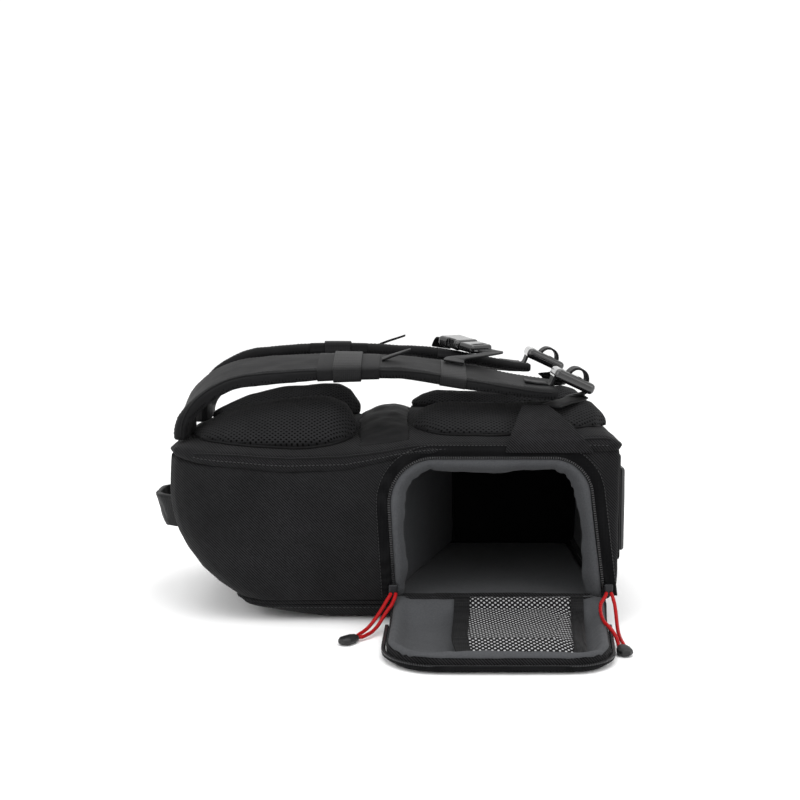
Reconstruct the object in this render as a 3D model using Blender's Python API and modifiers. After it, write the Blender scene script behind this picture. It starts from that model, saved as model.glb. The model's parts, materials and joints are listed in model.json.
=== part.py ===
"""Camera backpack lying on its front panel, with its side door open on the floor.

Metres, +Z up. +X points to the bag's base, -Y to the side with the door, and the
origin is on the flat underside of the front pocket. Heights are counted from there.
"""
import math

import bmesh
import bpy
import numpy as np
from mathutils import Matrix, Vector

# Overall sizes
BODY_LENGTH = 0.369
BODY_WIDTH = 0.240
POCKET_DEPTH = 0.0185
HULL_DEPTH = 0.1265
SIDE_BULGE = 0.004
HEAD_CORNER = 0.040
BASE_CORNER = 0.0055
CORNER_LEAD = 0.0012
GAP = 0.0003

# Walls
PANEL_WALL = 0.005
FRONT_WALL = 0.0026
POCKET_WALL = 0.0025
LINER_WALL = 0.0015
DIVIDER_WALL = 0.008

# Back panel and its pads
BAND_DEPTH = 0.013
BAND_PROUD = 0.0025
BACK_CROWN = 0.016
PAD_SEAT = 0.0009
UPPER_PAD = 0.031
LOWER_PAD = 0.020
PAD_WIDTH = 0.084
PAD_SPREAD = 0.064
UPPER_PAD_SPAN = (0.012, 0.152)
LOWER_PAD_SPAN = (0.199, 0.365)
PAD_END_WIDTH = 0.40
PAD_RIM = 0.0012
SLEEVE_SPAN = (0.1545, 0.1965)
SLEEVE_RISE = 0.011
SLEEVE_WALL = 0.0018

# Side opening and door
OPENING_LENGTH = 0.1775
OPENING_HEIGHT = 0.118
OPENING_SILL = 0.005
OPENING_LEAN_HEAD = 0.007
OPENING_LEAN_BASE = 0.015
OPENING_RADIUS_HEAD = 0.042
OPENING_RADIUS_BASE = 0.030
OPENING_STRIP = 0.0022
ZIP_WIDTH = 0.003
ZIP_THICKNESS = 0.003
LIP_WIDTH = 0.009
LIP_THICKNESS = 0.0022
DOOR_LENGTH = 0.137
DOOR_WALL = 0.0035
DOOR_RIM = 0.0085
POCKET_RISE = 0.009
MESH_WALL = 0.0012

# Shoulder straps
STRAP_WIDTH = 0.062
STRAP_THICKNESS = 0.011
STRAP_SPREAD = 0.060
STRAP_HEIGHT = 0.061
FAR_STRAP_LIFT = 0.0045
ROOT_SETTLE = 0.0015
FAR_END_LIFT = 0.0065
FAR_END_SHORT = 0.012
KEEPER_SPAN = (-0.0650, -0.0127)
LOOP_SPAN = (-0.0515, -0.0280)
STERNUM_SPAN = (0.0387, 0.0602)
FAR_KEEPER_SHIFT = -0.013
TAB_START = -0.0110
TAB_LENGTH = 0.0245
TAB_RISE = 0.0085
KEEPER_WALL = 0.0012
WEBBING_WIDTH = 0.022
WEBBING_WALL = 0.0015
LOCK_LENGTH = 0.032
LOCK_WIDTH = 0.034
LOCK_THICKNESS = 0.005
LOCK_REACH = 0.015
LOCK_PITCH = 25.0
LOCK_SLOT = 0.16
LOCK_BAR = 0.005
TAIL_RADIUS = 0.0055

# Grab handle, base and wings
HANDLE_SPAN = 0.104
HANDLE_REACH = 0.023
HANDLE_WIDTH = 0.027
HANDLE_WALL = 0.0035
HANDLE_HEIGHT = 0.48
BASE_PLATE = 0.0035
BASE_PAD = 0.0048
PLATE_MARGIN = 0.014
PLATE_SPAN = (0.258, 0.961)
PAD_MARGIN = 0.024
PAD_SPAN = (0.297, 0.858)
WING_WALL = 0.002
WING_START = 0.744
WING_END = 0.942
WING_APEX = 0.820
WING_LEAN = 0.0375
WING_RISE = 0.0345

# Sternum buckle and zipper pulls
STERNUM_WIDTH = 0.018
SOCKET_LENGTH = 0.0275
PLUG_LENGTH = 0.0190
BUCKLE_WIDTH = 0.026
BUCKLE_THICKNESS = 0.009
CORD_DIAMETER = 0.003
SLIDER_WIDTH = 0.0075
SLIDER_DEPTH = 0.0048
SLIDER_HEIGHT = 0.0100
EYE_DEPTH = 0.0018
EYE_HEIGHT = 0.0030
GRIP_LENGTH = 0.018
GRIP_WIDTH = 0.013
GRIP_THICKNESS = 0.006
GRIP_HEAD = (-0.0360, -0.1776, 0.0034)
GRIP_HEAD_AIM = (-0.64, -0.77, 0.0)
GRIP_BASE = (0.1762, -0.2070, 0.0034)
GRIP_BASE_AIM = (0.0, -1.0, 0.0)

BASE_SEAM = POCKET_DEPTH + HULL_DEPTH
HEAD_X = -BODY_LENGTH / 2
BASE_X = BODY_LENGTH / 2
HALF_WIDTH = BODY_WIDTH / 2
BASE_RADIUS = max(BASE_CORNER, 1.15 * PANEL_WALL)
SILL_Z = POCKET_DEPTH + OPENING_SILL
OPENING_BASE_X = BASE_X - BASE_RADIUS - CORNER_LEAD - OPENING_STRIP
OPENING_HEAD_X = OPENING_BASE_X - OPENING_LENGTH
NEAR = -1
FAR = 1

# Hull sections: share of the depth, then insets as shares of length, length and width
HULL_ROWS = (
    # depth, head inset, base inset, side inset
    (0.00, 0.132, 0.0200, 0.025),
    (0.04, 0.115, 0.0060, 0.014),
    (0.09, 0.091, 0.0020, 0.007),
    (0.20, 0.052, 0.0000, 0.001),
    (0.34, 0.018, 0.0000, 0.000),
    (0.46, 0.000, 0.0000, 0.000),
    (0.60, -0.012, 0.0000, 0.000),
    (0.74, -0.015, 0.0000, 0.000),
    (1.00, -0.009, 0.0000, 0.000),
)

# Front pocket sections: share of its depth, then insets from the front seam
POCKET_ROWS = (
    # depth, head inset, base inset, side inset
    (0.00, 0.222, 0.041, 0.092),
    (0.10, 0.141, 0.027, 0.058),
    (0.35, 0.087, 0.016, 0.033),
    (0.62, 0.041, 0.007, 0.017),
    (0.84, 0.006, 0.001, 0.005),
    (1.00, 0.006, 0.001, 0.005),
)

# Seam between side and back panel: share of length, drop as a share of the depth
SEAM_ROWS = (
    # length, drop
    (0.00, 0.047),
    (0.08, 0.095),
    (0.18, 0.126),
    (0.27, 0.146),
    (0.40, 0.130),
    (0.49, 0.066),
    (0.545, 0.026),
    (0.60, 0.006),
    (1.00, 0.000),
)

# Rolled band above that seam: share of length, rise as a share of the band's depth
BAND_ROWS = (
    # length, rise
    (0.00, 0.60),
    (0.15, 0.85),
    (0.27, 0.92),
    (0.40, 0.90),
    (0.50, 0.62),
    (0.58, 0.36),
    (0.75, 0.38),
    (0.93, 0.80),
    (1.00, 0.90),
)

# Rolled band in section, from its lower edge to the crown
BAND_SECTION = (
    # share of the half width, share of the rise, share of the crown
    (1.000, 0.40, 0.00),
    (0.992, 0.80, 0.00),
    (0.965, 1.00, 0.07),
    (0.860, 1.00, 0.26),
    (0.600, 1.00, 0.64),
    (0.300, 1.00, 0.91),
    (0.000, 1.00, 1.00),
)

# Pad profiles: share of the pad's length, thickness as a share of the pad's own
UPPER_PAD_ROWS = (
    # length, thickness
    (0.00, 0.10),
    (0.13, 0.30),
    (0.28, 0.60),
    (0.52, 0.89),
    (0.83, 1.00),
    (0.94, 0.75),
    (1.00, 0.30),
)
LOWER_PAD_ROWS = (
    # length, thickness
    (0.00, 0.25),
    (0.06, 0.55),
    (0.16, 0.70),
    (0.45, 0.56),
    (0.76, 0.48),
    (0.89, 0.74),
    (0.96, 0.60),
    (1.00, 0.25),
)

# Strap path: share of length from the middle, height as a share of the strap height
# above the base seam, thickness share, roll in degrees with the outer edge lower
STRAP_ROWS = (
    # length, height, thickness, roll
    (-0.4880, 0.100, 1.00, 0.0),
    (-0.4880, 0.200, 1.00, 0.0),
    (-0.4830, 0.360, 1.00, 3.0),
    (-0.4640, 0.560, 1.00, 9.0),
    (-0.4330, 0.740, 1.00, 11.0),
    (-0.3930, 0.880, 1.00, 11.0),
    (-0.3420, 0.970, 1.00, 11.0),
    (-0.2170, 1.035, 0.96, 10.0),
    (-0.1030, 1.055, 0.92, 8.0),
    (0.0120, 1.045, 0.86, 6.0),
    (0.0810, 0.995, 0.82, 8.0),
    (0.1950, 0.880, 0.78, 8.0),
    (0.3250, 0.755, 0.74, 5.0),
    (0.3720, 0.735, 0.70, 4.0),
)

# Door profile from the hinge outwards: share of its reach, share of the sill height
DOOR_ROWS = (
    # reach, height
    (0.00, 0.84),
    (0.08, 0.62),
    (0.16, 0.34),
    (0.24, 0.12),
    (0.34, 0.03),
    (0.55, 0.02),
    (0.75, 0.02),
    (0.88, 0.02),
    (0.94, 0.02),
    (0.975, 0.02),
    (1.00, 0.02),
)

# Grab handle from one sewn end to the middle: share of half span, share of reach
HANDLE_ROWS = (
    # span, reach
    (1.00, 0.05),
    (0.80, 0.06),
    (0.66, 0.30),
    (0.52, 0.72),
    (0.34, 0.94),
    (0.12, 1.00),
)

# Wing from the seam upwards: share up it, lean inwards, rise above the base seam
WING_ROWS = (
    # share, lean, rise
    (0.00, 0.000, -0.03),
    (0.18, 0.005, 0.26),
    (0.38, 0.181, 0.49),
    (0.68, 0.573, 0.75),
    (1.00, 1.000, 1.00),
)

# Free cord routes, chosen by eye: from the slider to the grip and back
PULL_ROUTE_HEAD = (
    (-0.0031, -0.1271, 0.0272),
    (-0.0041, -0.1300, 0.0258),
    (-0.0062, -0.1328, 0.0232),
    (-0.0092, -0.1378, 0.0190),
    (-0.0130, -0.1428, 0.0142),
    (-0.0172, -0.1477, 0.0094),
    (-0.0215, -0.1527, 0.0056),
    (-0.0253, -0.1576, 0.0038),
    (-0.0280, -0.1620, 0.0032),
    (-0.0294, -0.1656, 0.0030),
    (-0.0300, -0.1675, 0.0030),
    (-0.0291, -0.1693, 0.0030),
    (-0.0272, -0.1699, 0.0030),
    (-0.0254, -0.1690, 0.0030),
    (-0.0220, -0.1646, 0.0033),
    (-0.0176, -0.1582, 0.0043),
    (-0.0133, -0.1515, 0.0073),
    (-0.0095, -0.1455, 0.0120),
    (-0.0060, -0.1410, 0.0165),
    (-0.0025, -0.1370, 0.0203),
    (-0.0004, -0.1320, 0.0238),
    (0.0006, -0.1296, 0.0260),
    (0.0009, -0.1271, 0.0272),
)
PULL_ROUTE_BASE = (
    (0.1743, -0.1259, 0.0274),
    (0.1738, -0.1277, 0.0267),
    (0.1722, -0.1303, 0.0247),
    (0.1690, -0.1340, 0.0214),
    (0.1674, -0.1405, 0.0190),
    (0.1666, -0.1480, 0.0174),
    (0.1662, -0.1560, 0.0164),
    (0.1662, -0.1640, 0.0154),
    (0.1667, -0.1715, 0.0150),
    (0.1679, -0.1780, 0.0146),
    (0.1700, -0.1827, 0.0127),
    (0.1722, -0.1864, 0.0096),
    (0.1735, -0.1893, 0.0064),
    (0.1740, -0.1915, 0.0040),
    (0.1740, -0.1940, 0.0031),
    (0.1746, -0.1956, 0.0030),
    (0.1762, -0.1962, 0.0030),
    (0.1778, -0.1956, 0.0030),
    (0.1784, -0.1940, 0.0030),
    (0.1785, -0.1885, 0.0031),
    (0.1783, -0.1815, 0.0033),
    (0.1782, -0.1735, 0.0039),
    (0.1783, -0.1650, 0.0054),
    (0.1788, -0.1565, 0.0080),
    (0.1794, -0.1485, 0.0114),
    (0.1799, -0.1410, 0.0154),
    (0.1800, -0.1345, 0.0198),
    (0.1792, -0.1300, 0.0244),
    (0.1786, -0.1278, 0.0264),
    (0.1784, -0.1259, 0.0274),
)


def clear_scene():
    for item in list(bpy.data.objects):
        bpy.data.objects.remove(item, do_unlink=True)


def new_collection(name):
    collection = bpy.data.collections.new(name)
    bpy.context.scene.collection.children.link(collection)
    return collection


def finish(name, colour, roughness, metallic=0.0):
    material = bpy.data.materials.new(name)
    material.use_nodes = True
    shader = material.node_tree.nodes["Principled BSDF"]
    shader.inputs["Base Color"].default_value = (*colour, 1.0)
    shader.inputs["Roughness"].default_value = roughness
    shader.inputs["Metallic"].default_value = metallic
    return material


def column(rows, share, index):
    """Read one column of a table at a share, straight between its rows."""
    return float(np.interp(share, [row[0] for row in rows], [row[index] for row in rows]))


def add_object(name, data, material, collection):
    item = bpy.data.objects.new(name, data)
    collection.objects.link(item)
    item.data.materials.append(material)
    return item


def mesh_from(name, points, faces, material, collection, smooth=True):
    mesh = bpy.data.meshes.new(name)
    work = bmesh.new()
    corners = [work.verts.new(point) for point in points]
    for face in faces:
        work.faces.new([corners[index] for index in face])
    bmesh.ops.recalc_face_normals(work, faces=work.faces)
    work.to_mesh(mesh)
    work.free()
    if smooth:
        mesh.shade_smooth()
        mesh.set_sharp_from_angle(angle=math.radians(40))
    return add_object(name, mesh, material, collection)


def loft(name, rings, material, collection, smooth=True):
    """Join unlike closed sections into one solid with flat ends."""
    size = len(rings[0])
    points = [point for ring in rings for point in ring]
    faces = [tuple(range(size - 1, -1, -1))]
    for step in range(len(rings) - 1):
        for side in range(size):
            after = (side + 1) % size
            low = step * size
            faces.append((low + side, low + after, low + size + after, low + size + side))
    last = (len(rings) - 1) * size
    faces.append(tuple(range(last, last + size)))
    return mesh_from(name, points, faces, material, collection, smooth)


def band_round(name, outer, inner, material, collection):
    """Join outer and inner closed sections into a hollow band."""
    size = len(outer[0])
    count = len(outer)
    points = [point for ring in outer for point in ring]
    points += [point for ring in inner for point in ring]
    shift = count * size
    faces = []
    for side in range(size):
        after = (side + 1) % size
        for step in range(count - 1):
            low = step * size
            high = low + size
            faces.append((low + side, low + after, high + after, high + side))
            faces.append((shift + low + after, shift + low + side,
                          shift + high + side, shift + high + after))
        last = (count - 1) * size
        faces.append((after, side, shift + side, shift + after))
        faces.append((last + side, last + after, shift + last + after, shift + last + side))
    return mesh_from(name, points, faces, material, collection)


def slab(name, top, bottom, material, collection, smooth=True):
    """Close two equal grids of points into one solid with a rim."""
    rows = len(top)
    columns = len(top[0])
    points = [point for row in top for point in row] + [point for row in bottom for point in row]
    shift = rows * columns

    def at(row, place):
        return row * columns + place

    faces = []
    for row in range(rows - 1):
        for place in range(columns - 1):
            square = (at(row, place), at(row + 1, place),
                      at(row + 1, place + 1), at(row, place + 1))
            faces.append(square)
            faces.append(tuple(shift + index for index in reversed(square)))
    border = [at(0, place) for place in range(columns)]
    border += [at(row, columns - 1) for row in range(1, rows)]
    border += [at(rows - 1, place) for place in range(columns - 2, -1, -1)]
    border += [at(row, 0) for row in range(rows - 2, 0, -1)]
    for index, start in enumerate(border):
        end = border[(index + 1) % len(border)]
        faces.append((start, end, shift + end, shift + start))
    return mesh_from(name, points, faces, material, collection, smooth)


def panel(name, grid, wall, material, collection):
    """Thicken an open grid inwards, against its normals."""
    rows = len(grid)
    columns = len(grid[0])
    points = [point for row in grid for point in row]
    faces = []
    for row in range(rows - 1):
        for place in range(columns - 1):
            low = row * columns + place
            faces.append((low, low + 1, low + columns + 1, low + columns))
    mesh = bpy.data.meshes.new(name)
    mesh.from_pydata(points, [], faces)
    mesh.shade_smooth()
    item = add_object(name, mesh, material, collection)
    thicken = item.modifiers.new("wall", "SOLIDIFY")
    thicken.thickness = wall
    thicken.offset = -1
    thicken.use_even_offset = True
    return item


def cut(item, cutter):
    boolean = item.modifiers.new("cut", "BOOLEAN")
    boolean.operation = "DIFFERENCE"
    boolean.solver = "EXACT"
    boolean.object = cutter
    cutter.hide_render = True
    cutter.display_type = "WIRE"


def box(name, size, collection, material=None):
    """A box of the given size about the origin, with its scale applied."""
    mesh = bpy.data.meshes.new(name)
    work = bmesh.new()
    bmesh.ops.create_cube(work, size=1.0, matrix=Matrix.Diagonal((*size, 1.0)))
    work.to_mesh(mesh)
    work.free()
    item = bpy.data.objects.new(name, mesh)
    collection.objects.link(item)
    if material:
        mesh.materials.append(material)
    return item


def soften(item, width, segments=2):
    bevel = item.modifiers.new("edges", "BEVEL")
    bevel.width = width
    bevel.segments = segments
    bevel.limit_method = "ANGLE"
    bevel.harden_normals = False


def place(item, location, forward, up=Vector((0, 0, 1))):
    """Turn an object's +X to forward, its +Z as near to up as that allows."""
    ahead = Vector(forward).normalized()
    side = Vector(up).cross(ahead).normalized()
    above = ahead.cross(side)
    turn = Matrix((ahead, side, above)).transposed().to_4x4()
    item.matrix_world = Matrix.Translation(location) @ turn


def smooth_line(points, steps):
    """Points on a smooth curve through the given ones."""
    spots = [Vector(point) for point in points]
    line = []
    for index in range(len(spots) - 1):
        before = spots[max(index - 1, 0)]
        start = spots[index]
        end = spots[index + 1]
        after = spots[min(index + 2, len(spots) - 1)]
        for step in range(steps):
            share = step / steps
            line.append(0.5 * (2 * start + (end - before) * share
                               + (2 * before - 5 * start + 4 * end - after) * share ** 2
                               + (3 * start - before - 3 * end + after) * share ** 3))
    line.append(spots[-1])
    return line


def hull_at(height):
    """Head x, base x and half width of the bag at a height."""
    share = (height - POCKET_DEPTH) / HULL_DEPTH
    head = HEAD_X + BODY_LENGTH * column(HULL_ROWS, share, 1)
    base = BASE_X - BODY_LENGTH * column(HULL_ROWS, share, 2)
    half = HALF_WIDTH - BODY_WIDTH * column(HULL_ROWS, share, 3)
    return head, base, half


def seam_shares(extra=()):
    """Shares of the length where the seam, the band or the crown bends."""
    shares = {row[0] for row in SEAM_ROWS} | {row[0] for row in BAND_ROWS} | set(extra)
    return sorted(shares)


def seam_z(x):
    """Height of the seam between side and back panel."""
    share = (x - HEAD_X) / BODY_LENGTH
    return BASE_SEAM - HULL_DEPTH * column(SEAM_ROWS, share, 1)


def side_y(x, height):
    """Distance of a bulging side panel's outer face from the middle."""
    head, base, half = hull_at(height)
    along = min(max((x - head) / (base - head), 0.0), 1.0)
    up = min(max((height - POCKET_DEPTH) / HULL_DEPTH, 0.0), 1.0)
    return half + SIDE_BULGE * math.sin(math.pi * along) * math.sin(math.pi * up)


def band_rise(x):
    return BAND_DEPTH * column(BAND_ROWS, (x - HEAD_X) / BODY_LENGTH, 1)


def crown_at(x):
    """Crown of the back panel, which dies out towards both ends."""
    reach = min(x - HEAD_X, BASE_X - x) / (0.11 * BODY_LENGTH)
    return BACK_CROWN * math.sin(math.pi / 2 * min(max(reach, 0.0), 1.0))


def back_top(x, y):
    """Height of the back panel's outer face."""
    across = min(abs(y) / (HALF_WIDTH + BAND_PROUD), 1.0)
    rows = tuple(reversed(BAND_SECTION))
    rise = column(rows, across, 1)
    crown = column(rows, across, 2)
    return seam_z(x) + band_rise(x) * rise + crown_at(x) * crown


def plan_half(x, grow):
    """Half width of the bag's plan at its seam, with its rounded corners."""
    head, base, half = hull_at(BASE_SEAM)
    head_step = HEAD_CORNER - min(max(x - (head - grow), 0.0), HEAD_CORNER)
    base_step = BASE_RADIUS - min(max((base + grow) - x, 0.0), BASE_RADIUS)
    narrow = HEAD_CORNER - math.sqrt(max(HEAD_CORNER ** 2 - head_step ** 2, 0.0))
    narrow += BASE_RADIUS - math.sqrt(max(BASE_RADIUS ** 2 - base_step ** 2, 0.0))
    return half + grow - narrow


def opening_span(share):
    """Head and base x of the side opening at a share of its height."""
    rise = share * OPENING_HEIGHT

    def inset(radius):
        above = max(rise - (OPENING_HEIGHT - radius), 0.0)
        return radius - math.sqrt(max(radius ** 2 - above ** 2, 0.0))

    head = OPENING_HEAD_X - OPENING_LEAN_HEAD * share + inset(OPENING_RADIUS_HEAD)
    base = OPENING_BASE_X - OPENING_LEAN_BASE * share - inset(OPENING_RADIUS_BASE)
    return head, base


def opening_shares():
    """Shares of the opening's height, close together round its upper corners."""
    straight = 1 - OPENING_RADIUS_HEAD / OPENING_HEIGHT
    shares = [0.0, 0.09, 0.25, 0.45]
    for step in range(7):
        angle = math.pi / 2 * step / 6
        shares.append(straight + (1 - straight) * math.sin(angle))
    return shares


def opening_outline(inset=0.0, sill=0.0):
    """Points (x, z) from the sill up the head side, over and down the base side."""
    shares = opening_shares()
    line = [(opening_span(share)[0], SILL_Z + share * OPENING_HEIGHT) for share in shares]
    line += [(opening_span(share)[1], SILL_Z + share * OPENING_HEIGHT) for share in reversed(shares)]
    top = [line[len(shares) - 1], line[len(shares)]]
    middle = ((top[0][0] + top[1][0]) / 2, top[0][1])
    line.insert(len(shares), middle)
    moved = []
    for index, spot in enumerate(line):
        before = line[max(index - 1, 0)]
        after = line[min(index + 1, len(line) - 1)]
        run = Vector((after[0] - before[0], after[1] - before[1])).normalized()
        moved.append((spot[0] + run.y * inset, spot[1] - run.x * inset))
    moved[0] = (moved[0][0], moved[0][1] + sill)
    moved[-1] = (moved[-1][0], moved[-1][1] + sill)
    return moved


def strap_path(side):
    """Stations of a strap: centre, along, across, out of its face, thickness."""
    far = 1.0 if side == FAR else 0.0
    rows = []
    for along, height, _, _ in STRAP_ROWS:
        late = far * max(along, 0.0) / STRAP_ROWS[-1][0]
        rise = STRAP_HEIGHT + far * FAR_STRAP_LIFT * min(max(height, 0.0), 1.0)
        rows.append((BODY_LENGTH * along - FAR_END_SHORT * late ** 2, 0.0,
                     BASE_SEAM + rise * height + FAR_END_LIFT * late))
    seat = max(back_top(rows[0][0] + step * STRAP_THICKNESS / 2, STRAP_SPREAD + turn * STRAP_WIDTH / 2)
               for step in (-1, 0, 1) for turn in (-1, 0, 1))
    rows[0] = (rows[0][0], 0.0, seat + 2 * GAP - ROOT_SETTLE)
    line = smooth_line(rows, 2)
    stations = []
    for index, spot in enumerate(line):
        before = line[max(index - 1, 0)]
        after = line[min(index + 1, len(line) - 1)]
        along = (after - before).normalized()
        share = index / 2
        places = list(range(len(STRAP_ROWS)))
        roll = float(np.interp(share, places, [row[3] for row in STRAP_ROWS]))
        thick = float(np.interp(share, places, [row[2] for row in STRAP_ROWS]))
        across = Vector((0, 1, 0))
        turn = Matrix.Rotation(math.radians(-side * roll), 3, along)
        across = turn @ across
        out = along.cross(across).normalized()
        if out.z < out.x:
            out = -out
        centre = spot + Vector((0, side * STRAP_SPREAD, 0))
        stations.append((centre, along, across, out, thick * STRAP_THICKNESS))
    return stations


def strap_station(stations, x):
    """The strap's station at an x on its long flat run."""
    flat = stations[10:]
    for start, end in zip(flat, flat[1:]):
        if start[0].x <= x <= end[0].x:
            share = (x - start[0].x) / (end[0].x - start[0].x)
            mixed = [start[index].lerp(end[index], share) for index in range(4)]
            return (*mixed, start[4] + (end[4] - start[4]) * share)
    return flat[-1]


def strap_ring(station, grow, width=STRAP_WIDTH):
    """A strap's closed section, grown all round."""
    centre, _, across, out, thick = station
    wide = width / 2 + grow
    deep = thick / 2 + grow
    edge = 0.60
    shape = ((wide, -edge * deep), (wide, edge * deep), (wide - 0.78 * deep, deep),
             (-wide + 0.78 * deep, deep), (-wide, edge * deep), (-wide, -edge * deep),
             (-wide + 0.78 * deep, -deep), (wide - 0.78 * deep, -deep))
    return [centre + across * a + out * b for a, b in shape]


def ribbon(name, line, normals, width, thickness, material, collection):
    """A flat strip along a line, its width across the given normals."""
    rings = []
    for index, spot in enumerate(line):
        before = line[max(index - 1, 0)]
        after = line[min(index + 1, len(line) - 1)]
        along = (after - before).normalized()
        out = normals[index]
        wide = along.cross(out).normalized() * width / 2
        deep = out * thickness / 2
        rings.append([spot - wide - deep, spot + wide - deep, spot + wide + deep, spot - wide + deep])
    return loft(name, rings, material, collection, smooth=False)


def build_side(side, name, cloth, parts):
    """A long side panel, straight between its rounded corners."""
    grid = []
    top_head, top_base, _ = hull_at(BASE_SEAM)
    top_start = top_head + HEAD_CORNER + CORNER_LEAD + 3 * GAP
    top_end = top_base - BASE_RADIUS - CORNER_LEAD - GAP
    spots = [HEAD_X + BODY_LENGTH * share for share in seam_shares((0.22, 0.33, 0.68, 0.84))]
    spots = [top_start] + [x for x in spots if top_start + 0.003 < x < top_end - 0.003] + [top_end]
    for share, *_ in HULL_ROWS:
        row = []
        for top_x in spots:
            along = (top_x - top_start) / (top_end - top_start)
            height = POCKET_DEPTH + share * (seam_z(top_x) - GAP - POCKET_DEPTH)
            head, base, _ = hull_at(height)
            start = head + top_start - top_head
            end = base + top_end - top_base
            x = start + (end - start) * along
            row.append((x, side * side_y(x, height), height))
        grid.append(row if side == NEAR else row[::-1])
    return panel(name, grid, PANEL_WALL, cloth, parts)


def build_end(name, at_head, cloth, parts):
    """An end panel with both rounded corners."""
    radius = HEAD_CORNER if at_head else BASE_RADIUS
    turn = -1 if at_head else 1
    arc = 5 if at_head else 3
    columns = [("lead", NEAR, 0.0)] + [("arc", NEAR, step / arc) for step in range(arc + 1)]
    columns += [("flat", 0, -1 + 2 * step / 6) for step in range(1, 6)]
    columns += [("arc", FAR, 1 - step / arc) for step in range(arc + 1)] + [("lead", FAR, 0.0)]
    grid = []
    for row in HULL_ROWS:
        line = []
        for kind, side, share in columns:
            def spot(height):
                head, base, half = hull_at(height)
                end = head if at_head else base
                if kind == "flat":
                    return end, share * (half - radius)
                angle = math.pi / 2 * share
                x = end - turn * radius * (1 - math.sin(angle))
                if kind == "lead":
                    x -= turn * CORNER_LEAD
                return x, side * (half - radius * (1 - math.cos(angle)))
            top_x, _ = spot(BASE_SEAM)
            rim = min(seam_z(top_x), seam_z(top_x - turn * 1.1 * PANEL_WALL)) - GAP
            height = POCKET_DEPTH + row[0] * (rim - POCKET_DEPTH)
            x, y = spot(height)
            line.append((x, y, height))
        grid.append(line[::-1] if at_head else line)
    return panel(name, grid, PANEL_WALL, cloth, parts)


def plan_outline(head, base, half, head_radius, base_radius, steps=5):
    """Closed plan outline with rounded corners, from the near head corner."""
    spots = []
    corners = ((head, -half, head_radius, 180), (base, -half, base_radius, 270),
               (base, half, base_radius, 0), (head, half, head_radius, 90))
    for x, y, radius, start in corners:
        cx = x + radius if x == head else x - radius
        cy = y + radius if y < 0 else y - radius
        for step in range(steps + 1):
            angle = math.radians(start + 90 * step / steps)
            spots.append((cx + radius * math.cos(angle), cy + radius * math.sin(angle)))
    return spots


def build_front(cloth, parts):
    """The stiff front panel and the pocket below it, open upwards."""
    head, base, half = hull_at(POCKET_DEPTH)
    outline = plan_outline(head, base, half, HEAD_CORNER, 2 * BASE_RADIUS)
    curve = bpy.data.curves.new("front_panel", "CURVE")
    curve.dimensions = "2D"
    curve.fill_mode = "BOTH"
    curve.extrude = FRONT_WALL / 2
    spline = curve.splines.new("POLY")
    spline.points.add(len(outline) - 1)
    for point, spot in zip(spline.points, outline):
        point.co = (*spot, 0.0, 1.0)
    spline.use_cyclic_u = True
    front = add_object("front_panel", curve, cloth, parts)
    front.location.z = POCKET_DEPTH - GAP - FRONT_WALL / 2

    top = POCKET_DEPTH - 2 * GAP - FRONT_WALL
    rings = []
    for depth, head_inset, base_inset, side_inset in POCKET_ROWS:
        ring = plan_outline(head + BODY_LENGTH * head_inset, base - BODY_LENGTH * base_inset,
                            half - BODY_WIDTH * side_inset, HEAD_CORNER, 2.5 * BASE_RADIUS)
        rings.append([(x, y, top * depth) for x, y in ring])
    mesh = bpy.data.meshes.new("front_pocket")
    work = bmesh.new()
    rows = [[work.verts.new(point) for point in ring] for ring in rings]
    work.faces.new(rows[0][::-1])
    for low, high in zip(rows, rows[1:]):
        for index in range(len(low)):
            after = (index + 1) % len(low)
            work.faces.new((low[index], low[after], high[after], high[index]))
    work.to_mesh(mesh)
    work.free()
    mesh.shade_smooth()
    mesh.set_sharp_from_angle(angle=math.radians(35))
    pocket = add_object("front_pocket", mesh, cloth, parts)
    thicken = pocket.modifiers.new("wall", "SOLIDIFY")
    thicken.thickness = POCKET_WALL
    thicken.offset = -1
    thicken.use_even_offset = True
    return front, pocket


def build_back(cloth, parts):
    """The back panel with its rolled band and crown."""
    head, base, _ = hull_at(BASE_SEAM)
    shares = seam_shares((0.02, 0.05, 0.11, 0.22, 0.33, 0.45, 0.68, 0.84, 0.89, 0.965, 0.988))
    sides = [(-row[0], row[1], row[2]) for row in BAND_SECTION]
    sides += [row for row in reversed(BAND_SECTION[:-1])]
    top = []
    bottom = []
    for share in shares:
        wide_x = head - BAND_PROUD + (base + BAND_PROUD - (head - BAND_PROUD)) * share
        low_x = head + (base - head) * share
        wide = plan_half(wide_x, BAND_PROUD)
        low = plan_half(low_x, 0.0)
        end = min(share, 1 - share)
        roll = min(0.4 + end / 0.03 * 0.6, 1.0)
        top.append([(wide_x, y * wide,
                     seam_z(low_x) + band_rise(low_x) * min(rise, roll) + crown_at(wide_x) * crown)
                    for y, rise, crown in sides])
        bottom.append([(low_x, y * low, seam_z(low_x)) for y, _, _ in sides])
    return slab("back_panel", top, bottom, cloth, parts)


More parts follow.
